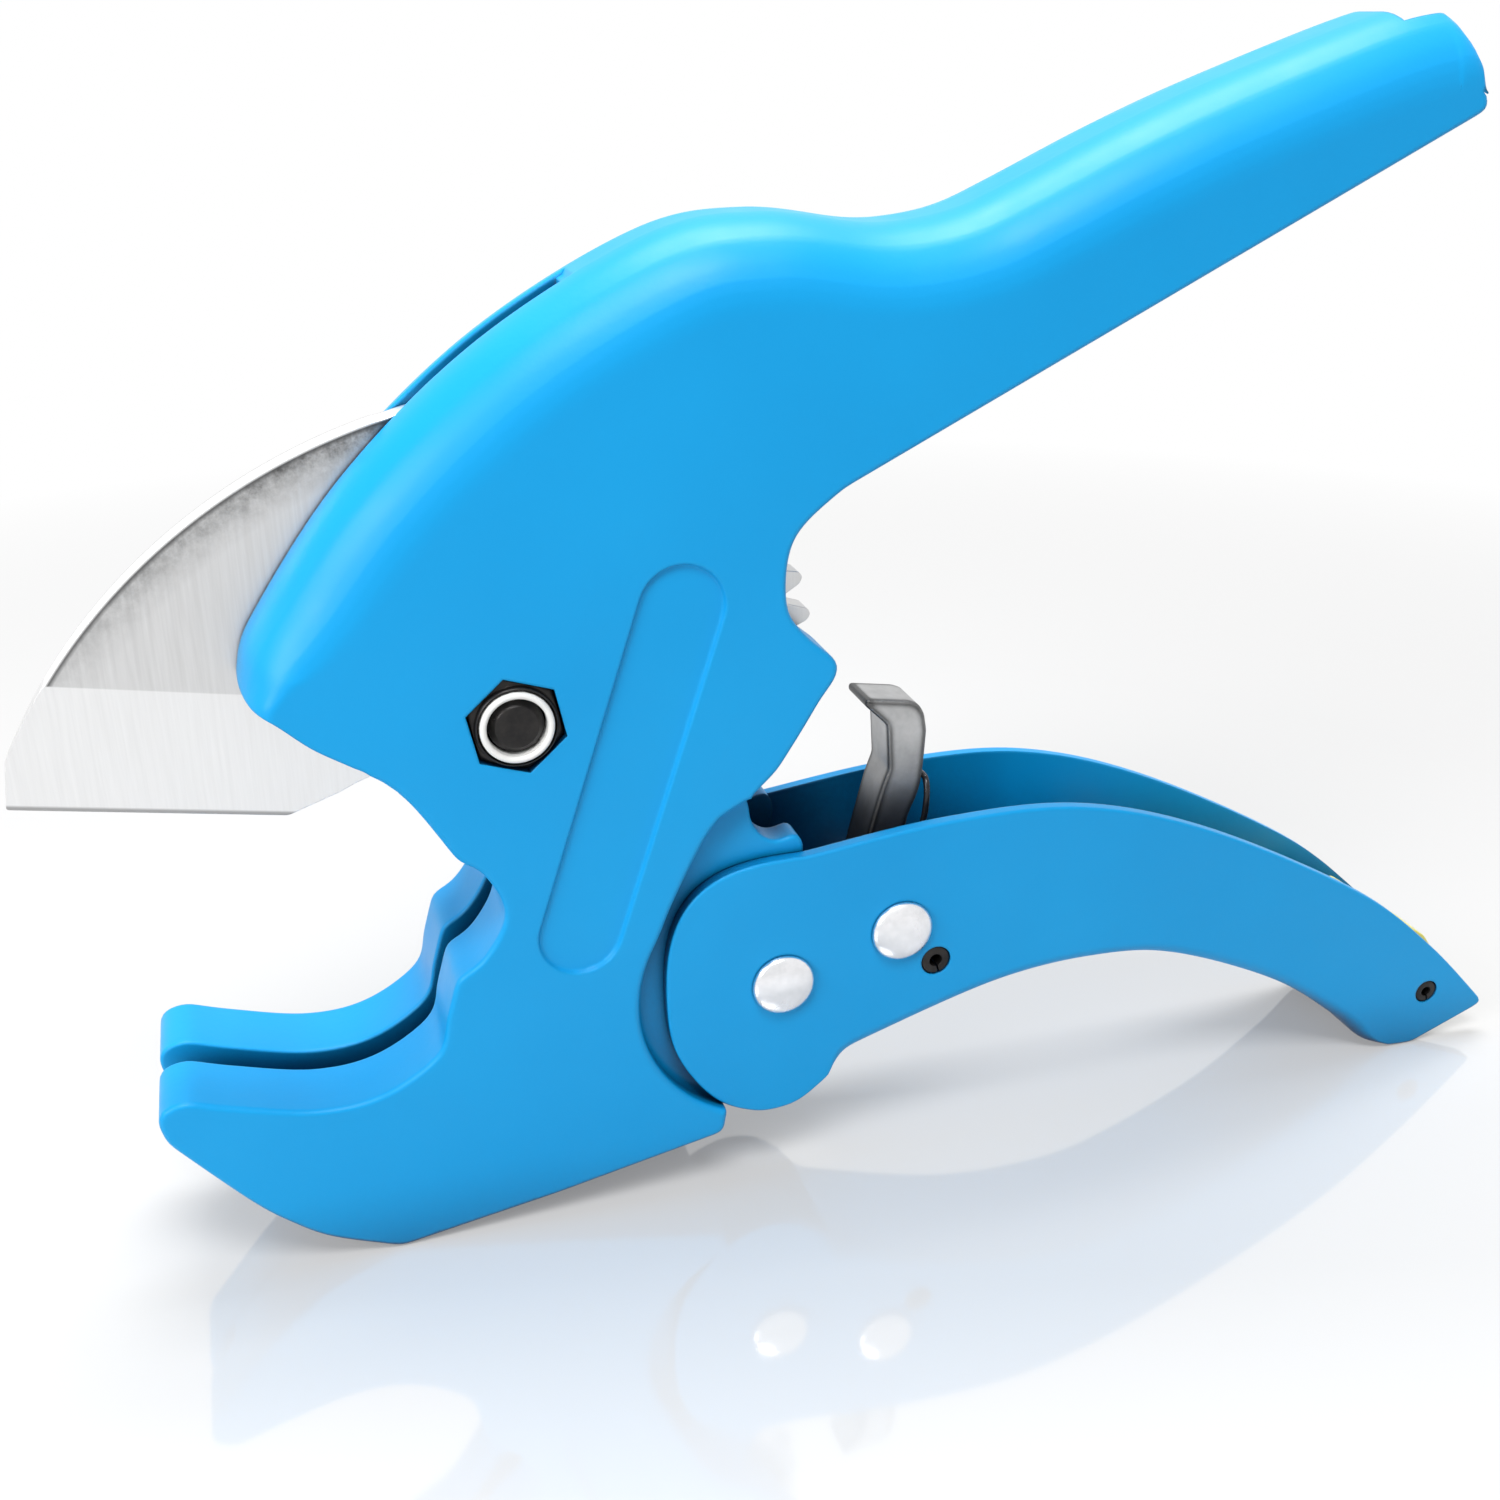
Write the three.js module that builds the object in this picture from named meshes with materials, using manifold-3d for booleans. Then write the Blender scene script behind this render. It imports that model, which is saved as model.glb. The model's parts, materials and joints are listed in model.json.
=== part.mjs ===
// A ratcheting hand cutter for plastic pipe, in millimetres with +Z up.
// +X runs towards the handles, and Y runs across the tool: the near side, which shows the
// lock nut, is at -Y. The tool stands open on its jaw and tail: blade up, lower handle down.
// Every outline is drawn from the blade's pivot. The finished tool is then moved, so that its
// origin is on the ground under the middle of its length.
import * as THREE from "three";
import { mergeVertices } from "three/addons/utils/BufferGeometryUtils.js";
import Module from "manifold-3d";

const wasm = await Module();
wasm.setup();

// ---- Driving dimensions ----
const HALF_WIDTH = 14; // casting, from the mid plane to each flat side
const CROWN_RADIUS = 11.5; // the round along the head's and upper handle's back
const CROWN_AT_NOSE = 0.4; // share of that round left at the head's front corner
const NOSE_FADE = 20; // length over which it grows to the full round
const WALL = 3.5; // casting wall around the upper handle's channel
const FIT = 0.3; // gap between pieces that rest on or fit in each other

const BLADE_HALF = 2;
const BLADE_SLOT_HALF = 2.4;
const REAR_CAVITY_HALF = 5.5; // room between the lug's two cheeks
const LUG_HALF = 10.1;

const SHEET = 2; // lower handle's sheet steel
const CHANNEL_HALF = 12.5; // lower handle, from the mid plane to its outer face
const CHANNEL_INSIDE = CHANNEL_HALF - SHEET;

const HANDLE_PIVOT = new THREE.Vector2(39, -48.6);
const PAWL_PIVOT = new THREE.Vector2(58.5, -42.4);
const STOP_PIN = new THREE.Vector2(64.7, -49.1);
const LATCH_PIVOT = new THREE.Vector2(161.6, -72.8);

const BOLT_RADIUS = 3.9;
const NUT_CORNER_RADIUS = 6.93; // a 12 mm spanner fits it
const NUT_TURN = 42; // degrees, first corner of the hexagon from +X
const RIVET_RADIUS = 2.6;
const RIVET_HEAD_RADIUS = 5;
const STOP_PIN_RADIUS = 2.4;
const LATCH_PIN_RADIUS = 2.1;
const PIN_GAP = 0.8; // the gap along a rolled spring pin
const PIN_SINK = 0.1;
const THROUGH = 20; // reach of a cut that goes right through the tool, from the mid plane
const BUSH_WALL = 1.6;
const BUSH_OUTER = RIVET_RADIUS + FIT + BUSH_WALL; // sleeve around the handle's rivet
const NUT_POCKET_FLOOR = 8;
const NUT_FACE = HALF_WIDTH - 0.6;
const BOLT_HEAD_FACE = HALF_WIDTH - 0.4;
const COLLAR_FACE = HALF_WIDTH + 0.5; // the nut's round top, which holds the nylon ring
const COLLAR_RADIUS = 5.8;
const INSERT_RADIUS = 5.2;
const INSERT_FLOOR = 12;
const INSERT_STANDS_OUT = 0.3;
const WASHER_POCKET = 3.7;
const WASHER_RADIUS = 9;

const TOOTH_TIP_RADIUS = 47;
const TOOTH_ROOT_RADIUS = 43.6;
const TOOTH_PITCH = 7.3; // degrees
const TOOTH_COUNT = 5;
const TOP_TOOTH = 17; // degrees, the first tooth's tip with the blade open
const TAIL_CLEAR_RADIUS = 50;
const BLADE_CLEAR_RADIUS = 70.5;
const BLADE_BACK_RADIUS = 84;

const PAWL_HALF = 4;
const SPACER_RADIUS = 4; // tubes that keep the pawl in the middle
const PAWL_COIL_RADIUS = 4.85;
const PAWL_WIRE_RADIUS = 0.5;
const RETURN_COIL_RADIUS = 6.6;
const RETURN_WIRE_RADIUS = 0.6;
const WIRE_STEPS = 52;
const LATCH_HALF = 4;
const LATCH_NOTCH_HALF = 7.5;
const LATCH_NOTCH_LENGTH = 7;

const PAINT = { color: 0x0b9ae0, roughness: 0.38, metalness: 0.1 };
const BLADE_STEEL = { color: 0xb9bbbd, roughness: 0.3, metalness: 1 };
const PAWL_STEEL = { color: 0x8a8a8a, roughness: 0.5, metalness: 0.9 };
const BRIGHT_ZINC = { color: 0xe2e4e8, roughness: 0.22, metalness: 1 };
const BLACK_OXIDE = { color: 0x1a1a1d, roughness: 0.5, metalness: 0.7 };
const SPRING_WIRE = { color: 0x24242a, roughness: 0.45, metalness: 0.9 };
const BRONZE = { color: 0xa8803c, roughness: 0.4, metalness: 1 };
const NYLON = { color: 0xf2f2ee, roughness: 0.5, metalness: 0 };
const YELLOW_ZINC = { color: 0xe6d84a, roughness: 0.35, metalness: 0.8 };

// ---- Outline tools: every outline is a list of (x, z) points, counter-clockwise ----
const at = (x, z) => new THREE.Vector2(x, z);

function curve(count, ...pairs) {
  const points = pairs.map(([x, z]) => at(x, z));
  return new THREE.SplineCurve(points).getPoints(count);
}

function polar(centre, radius, degrees) {
  const angle = THREE.MathUtils.degToRad(degrees);
  return at(centre.x + radius * Math.cos(angle), centre.y + radius * Math.sin(angle));
}

function arc(centre, radius, from, to, count) {
  const points = [];
  for (let i = 0; i <= count; i++) points.push(polar(centre, radius, from + ((to - from) * i) / count));
  return points;
}

function cleaned(points) {
  return points.filter((p, i) => p.distanceTo(points[(i + 1) % points.length]) > 0.05);
}

function inwardNormal(points, i) {
  const before = points[(i + points.length - 1) % points.length];
  const after = points[(i + 1) % points.length];
  const along = after.clone().sub(before).normalize();
  return at(-along.y, along.x);
}

function offset(points, distance) {
  return points.map((p, i) => {
    const before = points[Math.max(i - 1, 0)];
    const after = points[Math.min(i + 1, points.length - 1)];
    const along = after.clone().sub(before).normalize();
    return at(p.x - along.y * distance, p.y + along.x * distance);
  });
}

// ---- Solid tools ----
function solidOf(geometry) {
  const bare = geometry.index ? geometry.toNonIndexed() : geometry.clone();
  bare.deleteAttribute("normal");
  bare.deleteAttribute("uv");
  const merged = mergeVertices(bare, 1e-4);
  return new wasm.Manifold(
    new wasm.Mesh({
      numProp: 3,
      vertProperties: merged.attributes.position.array,
      triVerts: new Uint32Array(merged.index.array),
    }),
  );
}

function geometryOf(solid) {
  const mesh = solid.getMesh();
  const geometry = new THREE.BufferGeometry();
  geometry.setAttribute("position", new THREE.BufferAttribute(mesh.vertProperties, 3));
  geometry.setIndex(new THREE.BufferAttribute(mesh.triVerts, 1));
  geometry.computeVertexNormals();
  return geometry;
}

// A flat outline carried across the tool from y = low to y = high.
function plate(points, low, high) {
  const geometry = new THREE.ExtrudeGeometry(new THREE.Shape(cleaned(points)), {
    depth: high - low,
    bevelEnabled: false,
  });
  geometry.rotateX(Math.PI / 2);
  geometry.translate(0, high, 0);
  return solidOf(geometry);
}

function rod(centre, radius, low, high, sides = 28) {
  const geometry = new THREE.CylinderGeometry(radius, radius, high - low, sides);
  geometry.translate(centre.x, (low + high) / 2, centre.y);
  return solidOf(geometry);
}

function tube(centre, inner, outer, low, high, sides = 28) {
  return rod(centre, outer, low, high, sides).subtract(rod(centre, inner, low - 1, high + 1, sides));
}

// A solid of revolution about a line along Y. The profile is (radius, y), from low y to high y.
function turned(centre, profile, sides = 28) {
  const points = profile.map(([radius, y]) => new THREE.Vector2(radius, y));
  const geometry = new THREE.LatheGeometry(points, sides);
  geometry.translate(centre.x, 0, centre.y);
  return solidOf(geometry);
}

function hexagon(cornerRadius, low, high) {
  const corners = arc(at(0, 0), cornerRadius, NUT_TURN, NUT_TURN + 300, 5);
  return plate(corners, low, high);
}

function wire(points, radius) {
  const path = new THREE.CatmullRomCurve3(points, false, "centripetal");
  const round = new THREE.Shape();
  round.absarc(0, 0, radius, 0, 2 * Math.PI, false);
  return solidOf(
    new THREE.ExtrudeGeometry(round, {
      extrudePath: path,
      steps: WIRE_STEPS,
      curveSegments: 3,
    }),
  );
}

// A body whose outline shrinks towards its two sides, which rounds its back. Each outline point
// has a pull: the direction it moves in, one unit long for the full round and zero for a square edge.
function crowned(points, pulls, halfWidth, radius, levels) {
  const side = levels.map((share) => {
    const angle = (share * Math.PI) / 2;
    return [halfWidth - radius + radius * Math.sin(angle), radius * (1 - Math.cos(angle))];
  });
  const rings = [...side.map(([y, inset]) => [-y, inset]).reverse(), ...side];
  const count = points.length;
  const positions = [];
  for (const [y, inset] of rings)
    points.forEach((p, i) => positions.push(p.x + pulls[i].x * inset, y, p.y + pulls[i].y * inset));
  const faces = [];
  for (let ring = 0; ring + 1 < rings.length; ring++)
    for (let i = 0; i < count; i++) {
      const next = (i + 1) % count;
      const [a, b] = [ring * count + i, ring * count + next];
      const [c, d] = [a + count, b + count];
      faces.push(a, d, b, a, c, d);
    }
  const last = (rings.length - 1) * count;
  const cap = (start) =>
    points.map((_, i) => at(positions[3 * (start + i)], positions[3 * (start + i) + 2]));
  for (const [a, b, c] of THREE.ShapeUtils.triangulateShape(cap(0), [])) faces.push(a, b, c);
  for (const [a, b, c] of THREE.ShapeUtils.triangulateShape(cap(last), []))
    faces.push(last + c, last + b, last + a);
  const geometry = new THREE.BufferGeometry();
  geometry.setAttribute("position", new THREE.Float32BufferAttribute(positions, 3));
  geometry.setIndex(faces);
  return solidOf(geometry);
}

// ---- The casting ----
const NOSE = at(-35.9, 6.6);
const HANDLE_END_TOP = at(137.6, 90.4);
const HANDLE_END_BOTTOM = at(142.6, 76.6);
const HANDLE_ROOT = at(46.8, 29.3);
const PIVOT = at(0, 0);

// The back of the tool, from the handle's end to the nose.
const BACK = curve(
  43,
  HANDLE_END_TOP.toArray(),
  [128, 88.6],
  [104.1, 80.4],
  [88.9, 74.4],
  [74, 67.7],
  [66.6, 64.7],
  [59.2, 63.3],
  [51.9, 63.2],
  [37.6, 65],
  [22.4, 62.6],
  [-0.4, 50.2],
  [-19.4, 33.5],
  [-32.9, 15.5],
  NOSE.toArray(),
);

function mouthOutline() {
  return [
    ...curve(8, NOSE.toArray(), [-31.6, 4.2], [-27.2, 0.2], [-20.1, -4.6], [-15.2, -9.6], [-9.2, -19.6]),
    ...curve(9, [-9.2, -19.6], [-5.9, -22], [-3.2, -28.8], [-6.8, -35.6], [-10.8, -38.2]),
    ...curve(12, [-10.8, -38.2], [-12.6, -44.5], [-14.4, -50.4], [-22.7, -55.6], [-32, -56.4],
      [-43.1, -53.5], [-49.6, -51.2]),
    ...arc(at(-51.3, -54.1), 2.6, 95, 205, 4),
  ];
}

function lugOutline() {
  return [
    ...arc(HANDLE_PIVOT, 14.4, -110, 80, 12),
    at(43.1, -28),
    ...curve(7, [43.1, -26], [41.6, -24.2], [39.2, -25.2], [36.6, -24.2], [34.7, -21.4], [34.4, -18.3]),
  ];
}

function bodyOutline() {
  const lower = [
    ...mouthOutline(),
    ...curve(7, [-53.1, -57.6], [-42.9, -70.2], [-37.3, -75.6], [-32.1, -79.3], [-22.3, -83.4]),
    at(2.3, -79.1),
    at(29.1, -73.5),
    at(29.6, -69.4),
    ...lugOutline(),
    at(33.1, -15.9),
    ...curve(3, [37.5, -11.8], [41, -6.4], [44.1, -1.3]),
    ...curve(12, [46.3, 1.6], [46.4, 4.2], [41.9, 8.3], [38.8, 13.3], [39.8, 22.8], HANDLE_ROOT.toArray()),
    HANDLE_END_BOTTOM,
  ];
  return cleaned([...lower, ...BACK.slice(0, -1)]);
}

const HANDLE_END_DOWN = HANDLE_END_BOTTOM.clone().sub(HANDLE_END_TOP).normalize();

// The handle's end stays one flat face, so its top corner moves straight down that face.
function crownPulls(points) {
  const back = new Set(BACK);
  return points.map((p, i) => {
    if (p === BACK[0]) return HANDLE_END_DOWN.clone();
    const onBack = back.has(p) || p.distanceTo(NOSE) < 0.01;
    const grown = THREE.MathUtils.smoothstep(p.distanceTo(NOSE), 0, NOSE_FADE);
    return inwardNormal(points, i).multiplyScalar(onBack ? THREE.MathUtils.lerp(CROWN_AT_NOSE, 1, grown) : 0);
  });
}

// The slot that the blade swings in: open along the head's front, the mouth and the jaw.
function bladeSlot() {
  return plate(
    [
      at(-58, -65),
      ...arc(PIVOT, BLADE_CLEAR_RADIUS, 236, 262, 6),
      ...arc(PIVOT, TAIL_CLEAR_RADIUS, 262, 437, 26),
      at(11.3, 70),
      at(-80, 70),
      at(-80, -50),
    ],
    -BLADE_SLOT_HALF,
    BLADE_SLOT_HALF,
  );
}

// Room between the lug's cheeks for the pawl, the teeth and the return spring.
function rearCavity() {
  return plate(
    [
      ...arc(PIVOT, 41, -48, 16, 8).reverse(),
      at(27, -44),
      at(27, -60),
      at(34, -70),
      at(70, -70),
      at(70, 12),
    ],
    -REAR_CAVITY_HALF,
    REAR_CAVITY_HALF,
  );
}

// What is cut from each side of the casting, so that the lower handle's eye can swing there.
function handlePocket(low, high) {
  return plate(
    [
      at(29.6, -69.4),
      at(29.6, -90),
      at(75, -90),
      at(75, -15.9),
      at(33.1, -15.9),
      ...curve(5, [29, -18.1], [26.4, -21.5], [21.8, -30.5], [19.3, -36.5]),
      ...arc(HANDLE_PIVOT, 23, 157, 245.5, 9),
    ],
    low,
    high,
  );
}

const CHANNEL_POINTS = 20; // points of the back that the channel follows

// The upper handle is an upturned channel, closed by its round back.
function handleChannel() {
  const back = offset(BACK.slice(0, CHANNEL_POINTS), WALL);
  const start = back[0].clone().sub(back[1]).setLength(12).add(back[0]);
  const points = [start, ...back, at(54, 42), at(60, 25), at(160, 75)];
  const along = back[0].clone().sub(back[1]).normalize();
  const pulls = points.map((_, i) => {
    if (i > back.length) return at(0, 0);
    return i < 2 ? at(-along.y, along.x).negate() : inwardNormal(points, i);
  });
  return crowned(points, pulls, HALF_WIDTH - WALL, CROWN_RADIUS - WALL, [0, 0.4, 0.7, 1]);
}

// The notch in the upper handle's end that the latch hooks into.
function latchNotch() {
  const along = HANDLE_END_TOP.clone().sub(BACK[3]).normalize();
  const up = at(-along.y, along.x);
  const corner = (a, u) => HANDLE_END_TOP.clone().addScaledVector(along, a).addScaledVector(up, u);
  const [inner, outer, reach] = [-LATCH_NOTCH_LENGTH, LATCH_NOTCH_LENGTH, LATCH_NOTCH_LENGTH + FIT];
  const corners = [corner(inner, -reach), corner(outer, -reach), corner(outer, reach), corner(inner, reach)];
  return plate(corners, -LATCH_NOTCH_HALF, LATCH_NOTCH_HALF);
}

// A shallow slot-shaped hollow in each flat side, between the nut and the handle pocket.
const HOLLOW_TOP = at(23.6, 14.6);
const HOLLOW_BOTTOM = at(7.5, -34);
const HOLLOW_RADIUS = 6.3;
const HOLLOW_DEPTH = 0.7;

function sideHollow(low, high) {
  const along = HOLLOW_TOP.clone().sub(HOLLOW_BOTTOM);
  const tilt = THREE.MathUtils.radToDeg(along.angle());
  return plate(
    [
      ...arc(HOLLOW_TOP, HOLLOW_RADIUS, tilt - 90, tilt + 90, 8),
      ...arc(HOLLOW_BOTTOM, HOLLOW_RADIUS, tilt + 90, tilt + 270, 8),
    ],
    low,
    high,
  );
}

function bodyCasting() {
  const outline = bodyOutline();
  const levels = [0, 0.25, 0.45, 0.65, 0.83, 1];
  let casting = crowned(outline, crownPulls(outline), HALF_WIDTH, CROWN_RADIUS, levels);
  const beyond = HALF_WIDTH + 2;
  const cuts = [
    bladeSlot(),
    rearCavity(),
    handlePocket(LUG_HALF, beyond),
    handlePocket(-beyond, -LUG_HALF),
    handleChannel(),
    latchNotch(),
    sideHollow(HALF_WIDTH - HOLLOW_DEPTH, beyond),
    sideHollow(-beyond, HOLLOW_DEPTH - HALF_WIDTH),
    rod(PIVOT, BOLT_RADIUS + FIT, -beyond, beyond),
    rod(PIVOT, WASHER_RADIUS + FIT, -WASHER_POCKET, WASHER_POCKET),
    hexagon(NUT_CORNER_RADIUS + FIT, -beyond, -NUT_POCKET_FLOOR),
    hexagon(NUT_CORNER_RADIUS + FIT, NUT_POCKET_FLOOR, beyond),
    rod(HANDLE_PIVOT, BUSH_OUTER + FIT, -beyond, beyond),
  ];
  for (const cut of cuts) casting = casting.subtract(cut);
  return casting;
}

// ---- The blade and what holds it ----
const BLADE_BORE = BOLT_RADIUS + FIT + BUSH_WALL + FIT;

function toothOutline() {
  const points = [];
  for (let i = TOOTH_COUNT - 1; i >= 0; i--) {
    const tip = TOP_TOOTH - i * TOOTH_PITCH;
    const spots = [
      [TOOTH_ROOT_RADIUS, -2.6],
      [TOOTH_TIP_RADIUS - 0.7, -1.5],
      [TOOTH_TIP_RADIUS, -0.5],
      [TOOTH_TIP_RADIUS - 0.3, 0.7],
      [TOOTH_ROOT_RADIUS, 2.9],
    ];
    for (const [radius, turn] of spots) points.push(polar(PIVOT, radius, tip + turn));
  }
  return points;
}

function bladeOutline() {
  return [
    ...arc(at(8.4, -40.5), BLADE_BACK_RADIUS, 106, 152.8, 14),
    at(-67.4, -9.3),
    at(-31.1, -15.3),
    ...curve(5, [-24, -12.6], [-17, -10.2], [-8, -13.5], [10, -24.5], [21, -31.5]),
    at(29.5, -23.5),
    at(35.5, -15.8),
    ...toothOutline(),
    ...arc(PIVOT, 42.6, 26, 108, 10),
  ];
}

// The ground edge: a wedge off each face, from full thickness to the cutting edge.
const EDGE_START = at(-71, -8.6);
const EDGE_END = at(-27, -15.9);
const BEVEL_WIDTH = 18.7;
const EDGE_HALF = 0.15;

function bevelCut(side) {
  const along = EDGE_END.clone().sub(EDGE_START).normalize();
  const inward = at(-along.y, along.x);
  const deep = EDGE_START.clone().addScaledVector(inward, BEVEL_WIDTH);
  const faces = [
    [EDGE_START.clone().addScaledVector(inward, -4), side * (EDGE_HALF - 0.4)],
    [deep, side * BLADE_HALF],
    [deep.clone().addScaledVector(inward, 1), side * (BLADE_HALF + 3)],
    [EDGE_START.clone().addScaledVector(inward, -4), side * (BLADE_HALF + 3)],
  ];
  const length = 60;
  const near = faces.map(([p, y]) => new THREE.Vector3(p.x - along.x * 8, y, p.y - along.y * 8));
  const far = near.map((p) => p.clone().add(new THREE.Vector3(along.x * length, 0, along.y * length)));
  return prism(near, far);
}

function prism(near, far) {
  const corners = [...near, ...far];
  const centre = corners.reduce((sum, p) => sum.add(p), new THREE.Vector3()).divideScalar(corners.length);
  const faces = [[0, 1, 2, 3], [4, 5, 6, 7], [0, 1, 5, 4], [1, 2, 6, 5], [2, 3, 7, 6], [3, 0, 4, 7]];
  const positions = [];
  for (const [a, b, c, d] of faces)
    for (const triangle of [[a, b, c], [a, c, d]]) {
      const [p, q, r] = triangle.map((i) => corners[i]);
      const normal = q.clone().sub(p).cross(r.clone().sub(p));
      const outward = normal.dot(p.clone().sub(centre)) > 0;
      for (const corner of outward ? [p, q, r] : [p, r, q]) positions.push(...corner.toArray());
    }
  const geometry = new THREE.BufferGeometry();
  geometry.setAttribute("position", new THREE.Float32BufferAttribute(positions, 3));
  return solidOf(geometry);
}

function cuttingBlade() {
  return plate(bladeOutline(), -BLADE_HALF, BLADE_HALF)
    .subtract(rod(PIVOT, BLADE_BORE, -THROUGH, THROUGH))
    .subtract(bevelCut(1))
    .subtract(bevelCut(-1));
}

function bladeWasher(side) {
  const [inside, outside] = [BLADE_SLOT_HALF, WASHER_POCKET - FIT].map((y) => y * side);
  return tube(PIVOT, BOLT_RADIUS + FIT, WASHER_RADIUS, Math.min(inside, outside), Math.max(inside, outside));
}

const bladeBush = () => tube(PIVOT, BOLT_RADIUS + FIT, BLADE_BORE - FIT, -BLADE_HALF, BLADE_HALF);

function pivotBolt() {
  const end = 0.2 - COLLAR_FACE;
  const chamfer = 0.9;
  const shank = turned(PIVOT, [
    [0, end],
    [BOLT_RADIUS - chamfer, end],
    [BOLT_RADIUS, end + chamfer],
    [BOLT_RADIUS, NUT_POCKET_FLOOR + 1],
    [0, NUT_POCKET_FLOOR + 1],
  ]);
  return shank.add(hexagon(NUT_CORNER_RADIUS, NUT_POCKET_FLOOR + FIT, BOLT_HEAD_FACE));
}

function lockNut() {
  const nut = hexagon(NUT_CORNER_RADIUS, -NUT_FACE, -NUT_POCKET_FLOOR - FIT);
  const collar = rod(PIVOT, COLLAR_RADIUS, -COLLAR_FACE, -NUT_FACE + 1);
  const seat = rod(PIVOT, INSERT_RADIUS + FIT, -COLLAR_FACE - 1, -INSERT_FLOOR);
  return nut.add(collar).subtract(rod(PIVOT, BOLT_RADIUS + FIT, -THROUGH, 0)).subtract(seat);
}

const lockNutInsert = () =>
  tube(PIVOT, BOLT_RADIUS + FIT, INSERT_RADIUS, -COLLAR_FACE - INSERT_STANDS_OUT, -INSERT_FLOOR - FIT);

// ---- The lower handle and its pivot ----
const SHEET_TOP = curve(
  14,
  [42.8, -27.2],
  [65.9, -24.7],
  [89, -25.6],
  [113.2, -33.5],
  [143.7, -49.7],
  [160.5, -62.9],
  [173.9, -76.4],
);
const SHEET_BOTTOM = curve(
  18,
  [49.6, -64.4],
  [53.5, -62.6],
  [76.3, -55.8],
  [94.3, -54.3],
  [109.5, -56.6],
  [130.2, -65.7],
  [143.9, -75.5],
  [151.4, -82.1],
  [160.3, -83.4],
);

function handleOutline() {
  return [
    ...curve(8, [42.8, -27.2], [35.3, -27.4], [29, -28.9], [24.3, -32.4], [21.5, -37.9], [20.5, -45.5]),
    ...curve(6, [21.1, -55.5], [23.9, -62.5], [28.7, -68.6], [34.5, -71.6]),
    ...curve(3, [38.7, -71.9], [42.4, -70.9], [47, -67.4]),
    ...SHEET_BOTTOM,
    at(173.2, -78.1),
    at(174.6, -77.3),
    ...SHEET_TOP.slice().reverse(),
  ];
}

function lowerHandle() {
  const inside = [
    at(10, -10),
    at(10, -80),
    at(48.5, -80),
    ...offset(SHEET_BOTTOM, SHEET).slice(0, -1),
    at(165, -90),
    at(190, -90),
    at(190, -10),
  ];
  const cuts = [
    plate(inside, -CHANNEL_INSIDE, CHANNEL_INSIDE),
    rod(HANDLE_PIVOT, RIVET_RADIUS + FIT, -THROUGH, THROUGH),
    rod(PAWL_PIVOT, RIVET_RADIUS + FIT, -THROUGH, THROUGH),
    rod(STOP_PIN, STOP_PIN_RADIUS + FIT, -THROUGH, THROUGH),
    rod(LATCH_PIVOT, LATCH_PIN_RADIUS + FIT, -THROUGH, THROUGH),
  ];
  const blank = plate(handleOutline(), -CHANNEL_HALF, CHANNEL_HALF);
  return cuts.reduce((left, cut) => left.subtract(cut), blank);
}

const HEAD_HEIGHT = 1.8;
const HEAD_SEAT = CHANNEL_HALF + FIT;

function rivet(centre) {
  const dome = [];
  for (let i = 0; i <= 5; i++) {
    const angle = (i * Math.PI) / 10;
    dome.push([RIVET_HEAD_RADIUS * Math.cos(angle), HEAD_SEAT + 0.4 + (HEAD_HEIGHT - 0.4) * Math.sin(angle)]);
  }
  const top = [0, HEAD_SEAT + HEAD_HEIGHT];
  const half = [[RIVET_RADIUS, HEAD_SEAT], [RIVET_HEAD_RADIUS, HEAD_SEAT], ...dome.slice(0, -1), top];
  const mirrored = half.map(([radius, y]) => [radius, -y]).reverse();
  return turned(centre, [...mirrored, ...half]);
}

const handlePivotBush = () =>
  tube(HANDLE_PIVOT, RIVET_RADIUS + FIT, BUSH_OUTER, -LUG_HALF, LUG_HALF);

// A rolled pin: a tube of spring steel with a gap along it.
function springPin(centre, radius) {
  const half = CHANNEL_HALF - PIN_SINK;
  const corners = [
    [0, -PIN_GAP / 2],
    [2 * radius, -PIN_GAP / 2],
    [2 * radius, PIN_GAP / 2],
    [0, PIN_GAP / 2],
  ];
  const gap = plate(corners.map(([x, z]) => at(centre.x + x, centre.y + z)), -THROUGH, THROUGH);
  return tube(centre, radius / 2, radius, -half, half, 20).subtract(gap);
}

// ---- The ratchet ----
const PAWL_EYE_RADIUS = 5.5;

function pawlOutline() {
  return [
    ...arc(PAWL_PIVOT, PAWL_EYE_RADIUS, 150, 250, 5),
    at(57.6, -51),
    at(60.4, -51),
    ...arc(PAWL_PIVOT, PAWL_EYE_RADIUS, 290, 390, 5),
    ...curve(6, [62, -35], [62.4, -28], [64.4, -22], [65.1, -12.8]),
    ...curve(3, [64.6, -10], [63.6, -8.4], [62, -7.6]),
    at(54.9, -6.5),
    at(54.7, -7.5),
    at(58.5, -11.2),
    ...curve(6, [59, -18.7], [57.7, -22.6], [55.6, -31], [54.2, -37.5]),
  ];
}

function drivePawl() {
  const bore = rod(PAWL_PIVOT, RIVET_RADIUS + FIT, -THROUGH, THROUGH);
  return plate(pawlOutline(), -PAWL_HALF, PAWL_HALF).subtract(bore);
}

function pawlSpacer(side) {
  const ends = [PAWL_HALF + FIT, CHANNEL_INSIDE - FIT].map((y) => y * side);
  return tube(PAWL_PIVOT, RIVET_RADIUS + FIT, SPACER_RADIUS, Math.min(...ends), Math.max(...ends));
}

// Points of a coil about a line along Y. Its angle runs from one value to another while y does too.
function coil(centre, radius, [fromAngle, toAngle], [fromY, toY]) {
  const steps = Math.round((toAngle - fromAngle) / 45);
  return arc(centre, radius, fromAngle, toAngle, steps).map(
    (p, i) => new THREE.Vector3(p.x, THREE.MathUtils.lerp(fromY, toY, i / steps), p.y),
  );
}

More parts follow.
